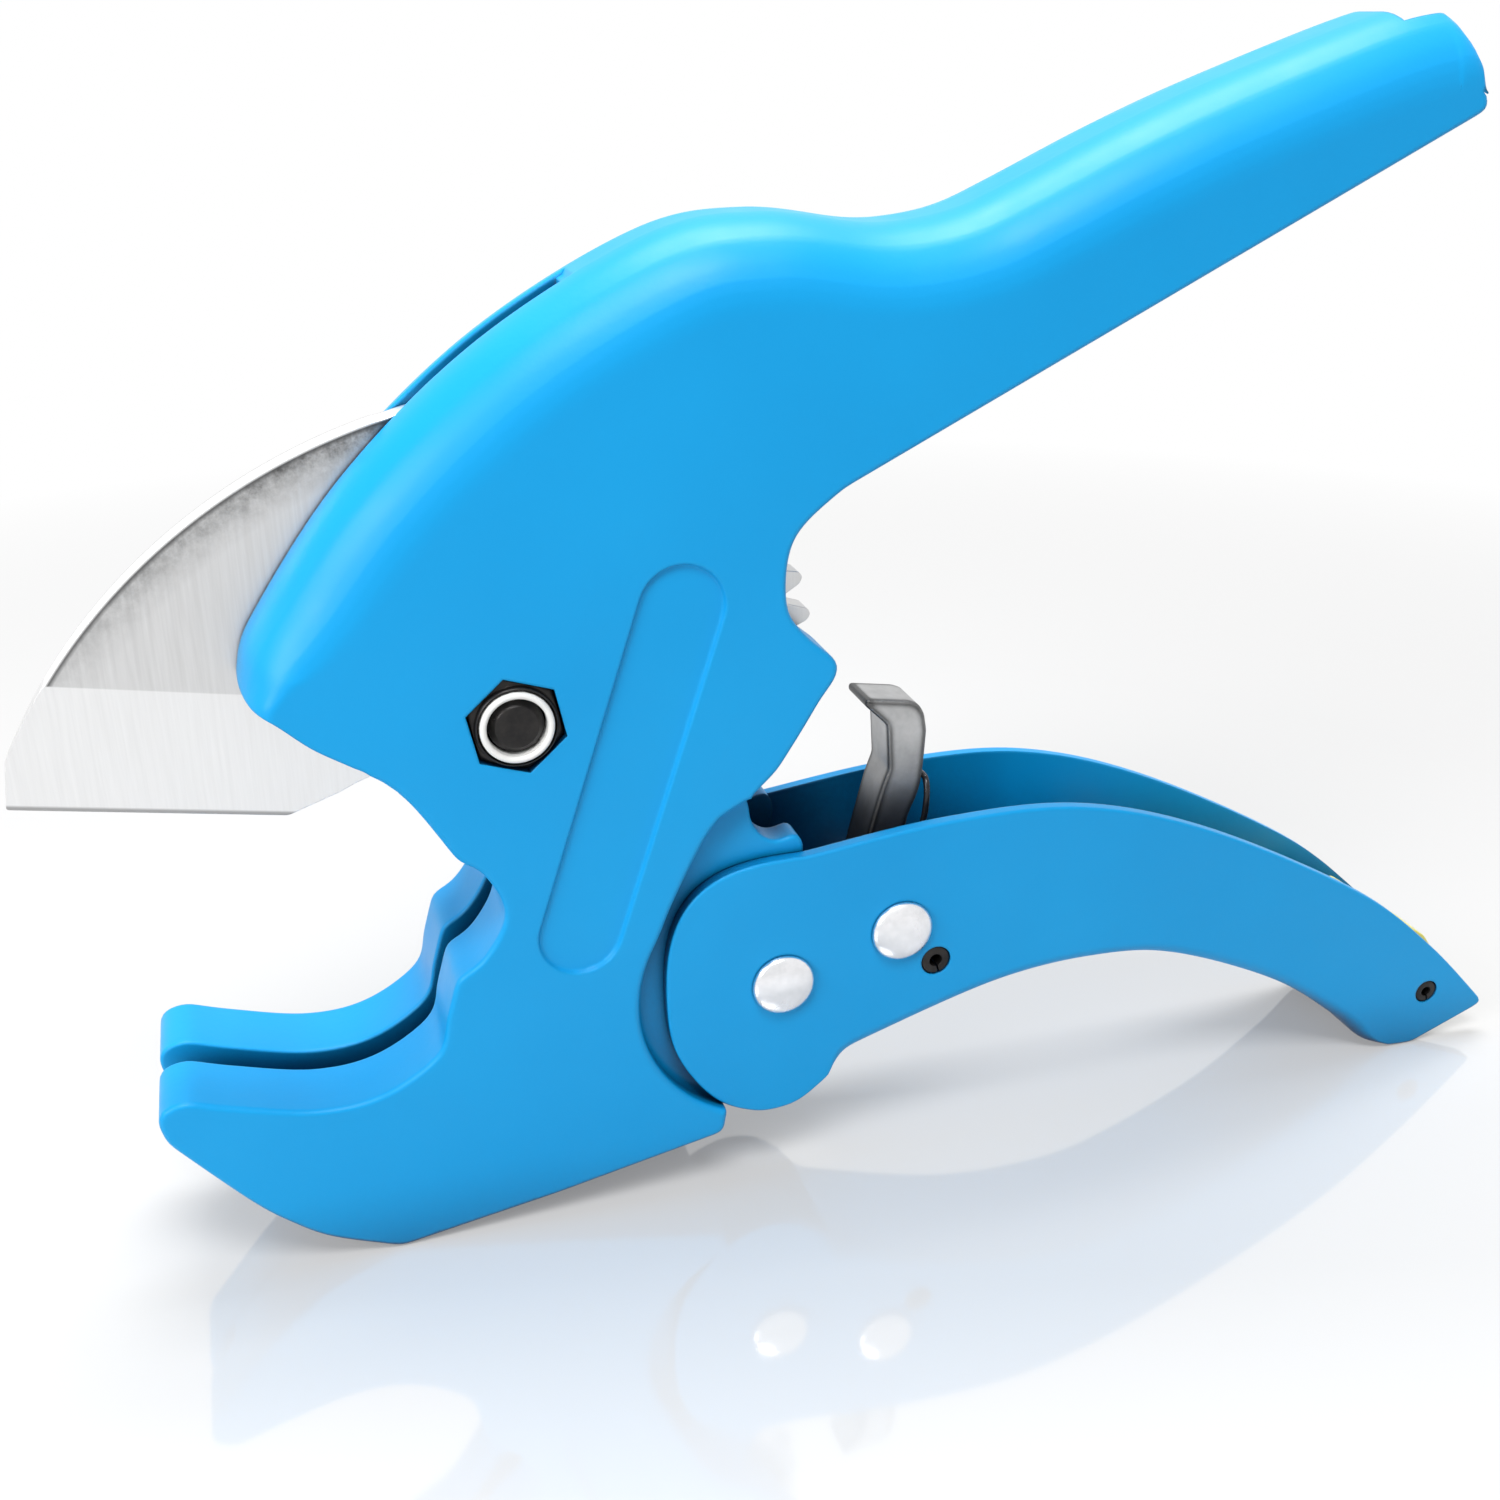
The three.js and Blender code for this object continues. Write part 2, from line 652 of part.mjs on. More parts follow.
// Coiled around the pawl's rivet, with an arm that bears on the pawl's rear edge.
function pawlSpring() {
  const arm = [
    new THREE.Vector3(63.6, -4.9, -34),
    new THREE.Vector3(65, -4.9, -26),
    new THREE.Vector3(65.5, -3.4, -21.5),
    new THREE.Vector3(65.5, 1, -21.5),
  ];
  const turns = coil(PAWL_PIVOT, PAWL_COIL_RADIUS, [0, 1080], [-9.4, -5.4]);
  return wire([...turns, ...arm], PAWL_WIRE_RADIUS);
}

// Its short arm bears on the front wall of the lug's cavity.
function returnSpring() {
  const arm = [new THREE.Vector3(33.6, 4.7, -24), new THREE.Vector3(32.8, 4.7, -37)];
  const turns = coil(HANDLE_PIVOT, RETURN_COIL_RADIUS, [180, 1041], [4.7, -4.8]);
  return wire([...arm, ...turns], RETURN_WIRE_RADIUS);
}

// ---- The latch ----
const LATCH_EYE_RADIUS = 4;

function latchOutline() {
  return [
    ...arc(LATCH_PIVOT, LATCH_EYE_RADIUS, 215, 340, 6),
    at(168.7, -69.6),
    at(166.7, -66.8),
    at(150, -55.4),
    ...curve(5, [147, -56.4], [141, -56.8], [128, -52.4], [109, -43.4]),
    at(109, -40.4),
    at(106.6, -39.6),
    at(105, -44.4),
    ...curve(5, [116, -50.4], [130, -56.4], [146, -61.4], [157.6, -70.4]),
  ];
}

function safetyLatch() {
  const eye = rod(LATCH_PIVOT, LATCH_EYE_RADIUS, FIT - CHANNEL_INSIDE, CHANNEL_INSIDE - FIT);
  return plate(latchOutline(), -LATCH_HALF, LATCH_HALF)
    .add(eye)
    .subtract(rod(LATCH_PIVOT, LATCH_PIN_RADIUS + FIT, -THROUGH, THROUGH));
}

// ---- Assembly ----
function piece(name, solid, look) {
  const mesh = new THREE.Mesh(geometryOf(solid), new THREE.MeshStandardMaterial(look));
  mesh.name = name;
  return mesh;
}

const cutter = new THREE.Group();
cutter.add(
  piece("body_casting", bodyCasting(), PAINT),
  piece("cutting_blade", cuttingBlade(), BLADE_STEEL),
  piece("blade_pivot_bolt", pivotBolt(), BLACK_OXIDE),
  piece("blade_lock_nut", lockNut(), BLACK_OXIDE),
  piece("lock_nut_insert", lockNutInsert(), NYLON),
  piece("blade_bush", bladeBush(), BRONZE),
  piece("blade_washer_near", bladeWasher(-1), BRONZE),
  piece("blade_washer_far", bladeWasher(1), BRONZE),
  piece("lower_handle", lowerHandle(), PAINT),
  piece("handle_pivot_rivet", rivet(HANDLE_PIVOT), BRIGHT_ZINC),
  piece("handle_pivot_bush", handlePivotBush(), BRONZE),
  piece("handle_return_spring", returnSpring(), SPRING_WIRE),
  piece("pawl_pivot_rivet", rivet(PAWL_PIVOT), BRIGHT_ZINC),
  piece("drive_pawl", drivePawl(), PAWL_STEEL),
  piece("pawl_spacer_near", pawlSpacer(-1), BRIGHT_ZINC),
  piece("pawl_spacer_far", pawlSpacer(1), BRIGHT_ZINC),
  piece("pawl_spring", pawlSpring(), SPRING_WIRE),
  piece("pawl_stop_pin", springPin(STOP_PIN, STOP_PIN_RADIUS), BLACK_OXIDE),
  piece("latch_pin", springPin(LATCH_PIVOT, LATCH_PIN_RADIUS), BLACK_OXIDE),
  piece("safety_latch", safetyLatch(), YELLOW_ZINC),
);

// The origin goes on the ground, under the middle of the length.
const box = new THREE.Box3().setFromObject(cutter);
const middle = box.getCenter(new THREE.Vector3());
for (const mesh of cutter.children) mesh.geometry.translate(-middle.x, 0, -box.min.z);

export default cutter;
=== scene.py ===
import json
import math

import bmesh
import bpy
import numpy as np
from mathutils import Matrix, Vector


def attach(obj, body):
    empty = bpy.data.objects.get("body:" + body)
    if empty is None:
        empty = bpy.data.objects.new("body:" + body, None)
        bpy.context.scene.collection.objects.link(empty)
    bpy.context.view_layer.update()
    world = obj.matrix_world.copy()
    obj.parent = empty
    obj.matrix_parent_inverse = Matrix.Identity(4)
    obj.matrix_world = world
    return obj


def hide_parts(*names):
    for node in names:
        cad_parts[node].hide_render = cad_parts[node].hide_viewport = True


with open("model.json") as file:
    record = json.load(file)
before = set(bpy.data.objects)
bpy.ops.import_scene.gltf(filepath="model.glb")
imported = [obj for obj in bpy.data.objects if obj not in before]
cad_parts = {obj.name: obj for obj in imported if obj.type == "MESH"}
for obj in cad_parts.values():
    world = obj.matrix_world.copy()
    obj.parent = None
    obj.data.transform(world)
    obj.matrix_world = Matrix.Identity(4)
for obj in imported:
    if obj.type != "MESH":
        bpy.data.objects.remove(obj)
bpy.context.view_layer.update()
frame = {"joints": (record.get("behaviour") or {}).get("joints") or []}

# ---- Driving dimensions ----
PIVOTS = {joint["name"]: Vector(joint["pos_m"]) for joint in frame["joints"]}
ORIGIN = PIVOTS["blade_pivot"]


def pivot_spot(joint):
    offset = (PIVOTS[joint] - ORIGIN) * 1000
    return np.array((offset.x, offset.z))


CENTRE = np.zeros(2)
HANDLE_PIVOT = pivot_spot("handle_pivot")
PAWL_PIVOT = pivot_spot("pawl_pivot")
LATCH_PIVOT = pivot_spot("latch_pivot")
STOP_PIN = np.array((64.7, -49.1))

HALF_WIDTH = 14
CROWN_RADIUS = 11.5
CROWN_AT_NOSE = 0.4
NOSE_FADE = 20
WALL = 3.5
CAST_EDGE = 0.8
SLOT_EDGE = 0.5
LUG_EDGE = 0.6
BLADE_HALF = 2
BLADE_SLOT_HALF = 2.4
REAR_CAVITY_HALF = 5.5
LUG_HALF = 10.1
SHEET = 2
SHEET_EDGE = 0.4
BEND_RADIUS = 2.6
CHANNEL_HALF = 12.5
CHANNEL_INSIDE = CHANNEL_HALF - SHEET
FIT = 0.3
BOLT_RADIUS = 3.9
BOLT_HEAD_FACE = 13.6
NUT_CORNER_RADIUS = 6.93
NUT_TURN = 42
NUT_POCKET_FLOOR = 8
NUT_FACE = 13.4
COLLAR_RADIUS = 5.8
COLLAR_FACE = 14.5
INSERT_RADIUS = 5.2
INSERT_BACK = 12.3
BUSH_OUTER = 5.8
BUSH_HALF = 2.1
WASHER_RADIUS = 9
WASHER_FACES = (2.4, 3.4)
RIVET_RADIUS = 2.6
RIVET_HEAD_RADIUS = 5
STOP_PIN_RADIUS = 2.4
LATCH_PIN_RADIUS = 2.1
HANDLE_BUSH_RADIUS = 4.5
SPACER_RADIUS = 4
SPACER_FACES = (4.3, 10.2)
PAWL_COIL_RADIUS = 4.85
PAWL_WIRE_RADIUS = 0.5
RETURN_COIL_RADIUS = 6.6
RETURN_WIRE_RADIUS = 0.6
TOOTH_TIP_RADIUS = 47
TOOTH_ROOT_RADIUS = 43.6
TOOTH_PITCH = 7.3
TOOTH_COUNT = 5
TOP_TOOTH = 17
BLADE_BACK_CENTRE = np.array((8.4, -40.5))
BLADE_BACK_RADIUS = 84
EDGE_START = np.array((-71, -8.6))
EDGE_END = np.array((-27, -15.9))
BEVEL_WIDTH = 18.7
PAWL_HALF = 4
LATCH_HALF = 4
LATCH_NOTCH_HALF = 7.5
LATCH_NOTCH_LENGTH = 7
LUG_RECESS_RADIUS = 23
THROUGH = 20


# ---- Outline tools ----
def polar(centre, radius, degrees):
    angle = math.radians(degrees)
    return np.array((centre[0] + radius * math.cos(angle), centre[1] + radius * math.sin(angle)))


def arc(centre, radius, start, end, steps=24):
    return [polar(centre, radius, start + (end - start) * i / steps) for i in range(steps + 1)]


def curve(*knots, steps=10):
    """A smooth line through the knots."""
    p = [np.array(k, float) for k in knots]
    last = len(p) - 1
    points = []
    for i in range(last):
        a, b, c, d = p[max(i - 1, 0)], p[i], p[i + 1], p[min(i + 2, last)]
        for k in range(steps):
            t = k / steps
            slope_b, slope_c = (c - a) / 2, (d - b) / 2
            cubic = 2 * b - 2 * c + slope_b + slope_c
            square = 3 * c - 3 * b - 2 * slope_b - slope_c
            points.append(((cubic * t + square) * t + slope_b) * t + b)
    return points + [p[-1]]


def tagged(points, **tags):
    """Points with tags carried along the outline, such as how far the crown rounds each of them."""
    return [(p, tags) for p in points]


def evened(tagged_points, spacing, passes, names=()):
    """The outline and its tags at even spacing, with corners eased by averaging neighbours."""
    rows = np.array([[*p, *(tags.get(n, 0) for n in names)] for p, tags in tagged_points])
    closed = np.vstack((rows, rows[:1]))
    steps = np.linalg.norm(np.diff(closed[:, :2], axis=0), axis=1)
    along = np.concatenate(([0], np.cumsum(steps)))
    keep = np.concatenate((steps > 1e-6, [True]))
    count = int(along[-1] / spacing)
    spots = np.arange(count) * along[-1] / count
    columns = [np.interp(spots, along[keep], closed[keep, c]) for c in range(closed.shape[1])]
    even = np.stack(columns, axis=1)
    for _ in range(passes):
        even = (even * 2 + np.roll(even, 1, axis=0) + np.roll(even, -1, axis=0)) / 4
    return even[:, :2], {n: even[:, 2 + i] for i, n in enumerate(names)}


def inward(points):
    """Unit normals that point into a counter-clockwise outline."""
    along = np.roll(points, -1, axis=0) - np.roll(points, 1, axis=0)
    along /= np.linalg.norm(along, axis=1)[:, None]
    return np.stack((-along[:, 1], along[:, 0]), axis=1)


def shifted(points, distance):
    """An open line moved to its left."""
    p = np.array(points)
    along = np.gradient(p, axis=0)
    along /= np.linalg.norm(along, axis=1)[:, None]
    return list(p + np.stack((-along[:, 1], along[:, 0]), axis=1) * distance)


def allowed(points, share=0.8, slope=0.6):
    """How far each point of an outline can move inwards before neighbouring points would cross."""
    after, before = np.roll(points, -1, axis=0) - points, points - np.roll(points, 1, axis=0)
    turn = np.arctan2(before[:, 0] * after[:, 1] - before[:, 1] * after[:, 0], (before * after).sum(axis=1))
    length = (np.linalg.norm(after, axis=1) + np.linalg.norm(before, axis=1)) / 2
    limit = share * length / np.maximum(turn, 1e-4)
    for _ in range(40):
        for neighbour in (np.roll(limit, 1), np.roll(limit, -1)):
            limit = np.minimum(limit, neighbour + slope * length)
    return limit


def rounding(y, edge, radius):
    """How far a round of this radius has moved a surface inwards at y, when it ends at edge."""
    reach = np.clip(np.abs(y) - (edge - radius), 0, radius)
    return radius - math.sqrt(radius * radius - reach * reach)


def quarter(radius, edge, steps=5):
    """Heights at which a round that ends at edge is sampled."""
    return [edge - radius + radius * math.sin(math.radians(90 * i / steps)) for i in range(steps + 1)]


# ---- Mesh tools ----
def placed(x, y, z):
    return (x / 1000 + ORIGIN.x, y / 1000, z / 1000 + ORIGIN.z)


def mesh_of(name, vertices, faces):
    mesh = bpy.data.meshes.new(name)
    mesh.from_pydata([placed(*v) for v in vertices], [], faces)
    work = bmesh.new()
    work.from_mesh(mesh)
    bmesh.ops.remove_doubles(work, verts=work.verts, dist=1e-7)
    bmesh.ops.recalc_face_normals(work, faces=work.faces)
    work.to_mesh(mesh)
    work.free()
    thing = bpy.data.objects.new(name, mesh)
    bpy.context.scene.collection.objects.link(thing)
    return thing


def loft(name, rings):
    """A closed body through rings of (x, y, z) points, each with the same count, capped at both ends."""
    count = len(rings[0])
    vertices = [tuple(v) for ring in rings for v in ring]
    faces = []
    for r in range(len(rings) - 1):
        for i in range(count):
            j = (i + 1) % count
            faces.append((r * count + i, r * count + j, (r + 1) * count + j, (r + 1) * count + i))
    faces.append(tuple(range(count)))
    faces.append(tuple(range((len(rings) - 1) * count, len(rings) * count)))
    return mesh_of(name, vertices, faces)


def ring_at(points, y):
    return [(x, y, z) for x, z in points]


def slab(name, points, low, high, edge=0.0, spacing=0.6, passes=2, steps=4):
    """A flat outline between two heights, with its edges rounded."""
    outline, _ = evened(tagged(points), spacing, passes)
    if not edge:
        return loft(name, [ring_at(outline, low), ring_at(outline, high)])
    normals, limit = inward(outline), allowed(outline)
    upper = []
    for y in quarter(edge, high, steps):
        inset = np.minimum(rounding(y, high, edge), limit)
        upper.append((y, outline + normals * inset[:, None]))
    lower = [(low + high - y, ring) for y, ring in reversed(upper)]
    return loft(name, [ring_at(ring, y) for y, ring in lower + upper])


def turned(name, centre, profile, sides=72):
    """A solid of revolution about a line along Y, from a closed (radius, y) profile."""
    vertices = []
    for k in range(sides):
        angle = 2 * math.pi * k / sides
        across, up = math.cos(angle), math.sin(angle)
        vertices += [(centre[0] + r * across, y, centre[1] + r * up) for r, y in profile]
    count = len(profile)
    pairs = [(i, (i + 1) % count) for i in range(count)]
    pairs = [(i, j) for i, j in pairs if max(profile[i][0], profile[j][0]) > 0]
    faces = []
    for k in range(sides):
        a, b = k * count, (k + 1) % sides * count
        faces += [(a + i, a + j, b + j, b + i) for i, j in pairs]
    return mesh_of(name, vertices, faces)


def rod(name, centre, radius, low, high, edge=0.0):
    ends = [(0, low), *bevelled(radius, low, edge), *reversed(bevelled(radius, high, -edge)), (0, high)]
    return turned(name, centre, ends)


def bevelled(radius, y, edge):
    if not edge:
        return [(radius, y)]
    points = []
    for i in range(5):
        angle = math.radians(90 * i / 4)
        points.append((radius - abs(edge) * (1 - math.sin(angle)), y + edge * (1 - math.cos(angle))))
    return points


def tube(name, centre, inner, outer, low, high, edge=0.2):
    outside = [*bevelled(outer, low, edge), *reversed(bevelled(outer, high, -edge))]
    return turned(name, centre, [(inner, low), *outside, (inner, high)])


def wire(name, path, radius, sides=14):
    """A round wire along a path of (x, y, z) points, with eased ends."""
    points = [Vector(p) for p in path]
    side = (points[1] - points[0]).orthogonal().normalized()
    rings = []
    for i, p in enumerate(points):
        ahead, behind = points[min(i + 1, len(points) - 1)], points[max(i - 1, 0)]
        tangent = (ahead - behind).normalized()
        side = (side - tangent * side.dot(tangent)).normalized()
        other = tangent.cross(side)
        size = radius * (0.6 if i in (0, len(points) - 1) else 1)
        ring = []
        for k in range(sides):
            angle = 2 * math.pi * k / sides
            ring.append(p + side * size * math.cos(angle) + other * size * math.sin(angle))
        rings.append(ring)
    return loft(name, rings)


def smooth_path(*knots, steps=12):
    return curve(*knots, steps=steps)


def combined(base, tools, operation="DIFFERENCE"):
    """base with the tools cut from it, joined to it, or kept in common with it. The tools are used up."""
    for tool in tools:
        step = base.modifiers.new("step", "BOOLEAN")
        step.operation = operation
        step.solver = "MANIFOLD"
        step.object = tool
    bpy.context.view_layer.update()
    shape = bpy.data.meshes.new_from_object(base.evaluated_get(bpy.context.evaluated_depsgraph_get()))
    base.modifiers.clear()
    base.data = shape
    for tool in tools:
        bpy.data.objects.remove(tool)
    return base


def split_large_faces(thing):
    """Cuts faces of more than four sides into triangles, which keeps large flats free of faint creases."""
    work = bmesh.new()
    work.from_mesh(thing.data)
    bmesh.ops.triangulate(work, faces=[f for f in work.faces if len(f.verts) > 4], ngon_method="EAR_CLIP")
    work.to_mesh(thing.data)
    work.free()
    return thing


def finished(thing, look, body, node, sharp=32):
    """Gives a piece its shading, material and body, and hides the CAD node it stands for."""
    for polygon in thing.data.polygons:
        polygon.use_smooth = True
    thing.data.set_sharp_from_angle(angle=math.radians(sharp))
    evenly = thing.modifiers.new("even shading", "WEIGHTED_NORMAL")
    evenly.keep_sharp = True
    thing.data.materials.clear()
    thing.data.materials.append(look)
    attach(thing, body)
    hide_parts(node)


# ---- Material tools ----
class Nodes:
    """A short way to build a material's node tree."""

    def __init__(self, name):
        self.material = bpy.data.materials.new(name)
        self.material.use_nodes = True
        self.tree = self.material.node_tree
        self.surface = self.tree.nodes["Principled BSDF"]
        coordinates = self.tree.nodes.new("ShaderNodeTexCoord")
        self.place = coordinates.outputs["Object"]

    def set(self, **values):
        for name, value in values.items():
            socket = self.surface.inputs[name.replace("_", " ")]
            if isinstance(value, bpy.types.NodeSocket):
                self.tree.links.new(value, socket)
            else:
                socket.default_value = value

    def node(self, kind, inputs=(), **settings):
        node = self.tree.nodes.new(kind)
        for name, value in settings.items():
            setattr(node, name, value)
        for name, value in dict(inputs).items():
            socket = node.inputs[name]
            if isinstance(value, bpy.types.NodeSocket):
                self.tree.links.new(value, socket)
            else:
                socket.default_value = value
        return node

    def stretched(self, scale, turn=0.0):
        """Object coordinates, turned about Y and scaled on each axis."""
        inputs = {"Vector": self.place, "Rotation": (0, turn, 0), "Scale": scale}
        return self.node("ShaderNodeMapping", inputs).outputs["Vector"]

    def noise(self, scale, detail=2.0, roughness=0.5, vector=None):
        inputs = {"Vector": vector or self.place, "Scale": scale, "Detail": detail, "Roughness": roughness}
        return self.node("ShaderNodeTexNoise", inputs).outputs["Fac"]

    def vectors(self, operation, first, second=None, output="Vector"):
        inputs = {0: first} if second is None else {0: first, 1: second}
        return self.node("ShaderNodeVectorMath", inputs, operation=operation).outputs[output]

    def spread(self, value, low, high, start=0.3, end=0.7):
        """value mapped so that start..end becomes low..high."""
        inputs = {"Value": value, "From Min": start, "From Max": end, "To Min": low, "To Max": high}
        return self.node("ShaderNodeMapRange", inputs).outputs["Result"]

    def mix(self, factor, a, b):
        node = self.node("ShaderNodeMix", {"Factor": factor}, data_type="RGBA")
        for name, value in (("A", a), ("B", b)):
            socket = [s for s in node.inputs if s.name == name and s.type == "RGBA"][0]
            if isinstance(value, bpy.types.NodeSocket):
                self.tree.links.new(value, socket)
            else:
                socket.default_value = value
        return [s for s in node.outputs if s.type == "RGBA"][0]

    def relief(self, height, distance, edge=0.0, strength=1.0):
        """A bump of this many metres, over edges eased by the edge radius in metres."""
        inputs = {"Height": height, "Distance": distance, "Strength": strength}
        if edge:
            inputs["Normal"] = self.node("ShaderNodeBevel", {"Radius": edge}, samples=6).outputs["Normal"]
        return self.node("ShaderNodeBump", inputs).outputs["Normal"]


def rgb(red, green, blue):
    """A colour given as it shows on screen, 0 to 255."""
    linear = [((c / 255 + 0.055) / 1.055) ** 2.4 if c > 10 else c / 255 / 12.92 for c in (red, green, blue)]
    return (*linear, 1)


def blue_paint():
    """Satin enamel, with painted shade: the colour darkens towards deep blue where little light gets in."""
    n = Nodes("blue_enamel")
    colour = n.mix(n.spread(n.noise(25, 2), 0, 1), rgb(2, 154, 220), rgb(6, 160, 226))
    # Painted shade: ambient occlusion mixes the enamel towards deep blue in slots, recesses and the handle
    # channel.
    ao_for_painted_shade = n.node("ShaderNodeAmbientOcclusion", {"Distance": 0.026}, samples=6).outputs["AO"]
    peel = n.noise(900, 2, 0.55)
    n.set(
        Base_Color=n.mix(n.spread(ao_for_painted_shade, 0, 1, 0.28, 0.68), rgb(0, 44, 80), colour),
        Roughness=n.spread(n.noise(120, 3), 0.35, 0.43),
        Normal=n.relief(peel, 0.00002, edge=0.0006),
        Specular_IOR_Level=0.3,
    )
    return n.material


def grey(value):
    return (value, value, value, 1)


def blade_steel():
    """Brushed flats that darken in a grainy band along the back, a painted highlight and a painted shade
    line along the back edge, painted shade towards the far rim, and a bright ground bevel.
    """
    n = Nodes("blade_steel")
    centre = placed(BLADE_BACK_CENTRE[0], 0, BLADE_BACK_CENTRE[1])
    from_centre = n.vectors("SUBTRACT", n.place, centre)
    in_plane = n.vectors("MULTIPLY", from_centre, (1, 0, 1))
    radius = n.vectors("LENGTH", in_plane, output="Value")
    along = (EDGE_END - EDGE_START) / np.linalg.norm(EDGE_END - EDGE_START)
    start = placed(EDGE_START[0], 0, EDGE_START[1])
    from_edge = n.vectors("SUBTRACT", n.place, start)
    deeper = (-along[1], 0, along[0])
    depth = n.vectors("DOT_PRODUCT", from_edge, deeper, output="Value")
    streaks = n.noise(1, 3, 0.6, n.stretched((1800, 60, 70), turn=-0.25))
    grain = n.noise(420, 4, 0.75)
    back = BLADE_BACK_RADIUS / 1000
    height = n.node("ShaderNodeSeparateXYZ", {"Vector": n.place})
    reach = n.spread(height.outputs["Z"], 0.0, 0.62, placed(0, 0, 0)[2], placed(0, 0, 38)[2])
    band = n.spread(radius, 0, 1, back - 0.006, back - 0.0008)
    band = n.node("ShaderNodeMath", {0: band, 1: reach}, operation="MULTIPLY").outputs["Value"]
    patches = n.spread(grain, 0.3, 1.7)
    patchy = n.node("ShaderNodeMath", {0: band, 1: patches}, operation="MULTIPLY", use_clamp=True)
    colour = n.mix(n.spread(streaks, 0, 1), grey(0.59), grey(0.66))
    colour = n.mix(patchy.outputs["Value"], colour, grey(0.1))
    # Painted shade: a thin dark line just inside the back edge.
    colour = n.mix(n.spread(radius, 0, 0.8, back - 0.0011, back - 0.0006), colour, grey(0.08))
    # Painted highlight: a thin white line on the back edge's round.
    colour = n.mix(n.spread(radius, 0, 1, back - 0.0005, back - 0.0002), colour, grey(0.95))
    # Painted shade: darker towards the far face, which shows as a dark outline along the far rim.
    colour = n.mix(n.spread(height.outputs["Y"], 0, 0.8, 0.0014, 0.0019), colour, grey(0.2))
    ground = n.mix(n.spread(streaks, 0, 1), grey(0.74), grey(0.79))
    ground = n.mix(n.spread(depth, 1, 0, 0.0003, 0.0007), ground, grey(0.35))
    bevel = BEVEL_WIDTH / 1000
    colour = n.mix(n.spread(depth, 1, 0, bevel - 0.0002, bevel), colour, ground)
    n.set(
        Base_Color=colour,
        Metallic=1.0,
        Roughness=n.spread(streaks, 0.3, 0.4),
        Normal=n.relief(streaks, 0.000002, edge=0.0002),
    )
    return n.material


def pawl_steel():
    """Matt grey steel, with painted shade: a dark line along its edges, and a fade to near black down
    towards its foot inside the handle's channel.
    """
    n = Nodes("pawl_steel")
    reach = {"Distance": 0.0014}
    inside = n.node("ShaderNodeAmbientOcclusion", reach, samples=8, inside=True, only_local=True)
    height = n.node("ShaderNodeSeparateXYZ", {"Vector": n.place}).outputs["Z"]
    foot, beak = placed(0, 0, -30)[2], placed(0, 0, -13)[2]
    colour = n.mix(n.spread(n.noise(260, 4, 0.65), 0, 1), grey(0.4), grey(0.52))
    # Painted shade: inside ambient occlusion darkens a thin line along every edge.
    colour = n.mix(n.spread(inside.outputs["AO"], 0.85, 0, 0.75, 0.95), colour, grey(0.06))
    # Painted shade: the steel fades to near black down towards the foot, which sits in the handle's channel.
    colour = n.mix(n.spread(height, 0.8, 0, foot, beak), colour, grey(0.02))
    grain = n.relief(n.noise(300, 4), 0.000008, edge=0.0003)
    n.set(Base_Color=colour, Metallic=1.0, Roughness=0.45, Normal=grain)
    return n.material


def plain_metal(name, dark, light, rough, grain=300.0, relief=0.000008, edge=0.0003, metallic=1.0):
    n = Nodes(name)
    grains = n.noise(grain, 4, 0.6)
    n.set(
        Base_Color=n.mix(n.spread(grains, 0, 1), (*dark, 1), (*light, 1)),
        Metallic=metallic,
        Roughness=n.spread(n.noise(grain * 0.4, 3), *rough),
        Normal=n.relief(grains, relief, edge=edge),
    )
    return n.material


PAINT = blue_paint()
BLADE_STEEL = blade_steel()
PAWL_STEEL = pawl_steel()
BRIGHT_ZINC = plain_metal("bright_zinc", (0.72, 0.73, 0.75), (0.9, 0.9, 0.92), (0.16, 0.3), relief=0.00002)
BLACK_OXIDE = plain_metal(
    "black_oxide", (0.008, 0.008, 0.009), (0.03, 0.027, 0.025), (0.25, 0.4), metallic=0.6,
)
SPRING_WIRE = plain_metal("spring_wire", (0.02, 0.02, 0.022), (0.05, 0.05, 0.055), (0.25, 0.4), metallic=0.8)
BRONZE = plain_metal("sintered_bronze", (0.35, 0.22, 0.08), (0.5, 0.34, 0.14), (0.35, 0.5))
YELLOW_ZINC = plain_metal("yellow_zinc", (0.75, 0.68, 0.12), (0.88, 0.82, 0.25), (0.3, 0.42), metallic=0.2)
NYLON = plain_metal("white_nylon", (0.82, 0.82, 0.8), (0.9, 0.9, 0.88), (0.35, 0.5), metallic=0.0)


# ---- The casting ----
NOSE_HEIGHT = 6.6
HANDLE_END_TOP = np.array((137.6, 90.4))
HANDLE_END_BOTTOM = np.array((142.6, 76.6))
HANDLE_END_DOWN = (HANDLE_END_BOTTOM - HANDLE_END_TOP) / np.linalg.norm(HANDLE_END_BOTTOM - HANDLE_END_TOP)
HANDLE_ROOT = (46.8, 29.3)

BACK = curve(
    HANDLE_END_TOP, (128, 88.5), (104.1, 80.4), (88.9, 74.4), (74, 67.7), (66.6, 64.7), (59.2, 63.3),
    (51.9, 63.2), (37.6, 65), (22.4, 62.6), (-0.4, 50.2), (-19.4, 33.5), (-32.9, 15.5), (-35.4, 9.2),
)


# The mouth's edge, from the back around the nose to its inner corner.
MOUTH_FRONT = curve(
    (-35.4, 9.2), (-35.5, 7.4), (-34.3, 5.9), (-31.6, 4.2), (-27.2, 0.2), (-22.6, -2.9), (-20.1, -4.6),
    (-15.2, -9.6), (-9.2, -19.6),
)


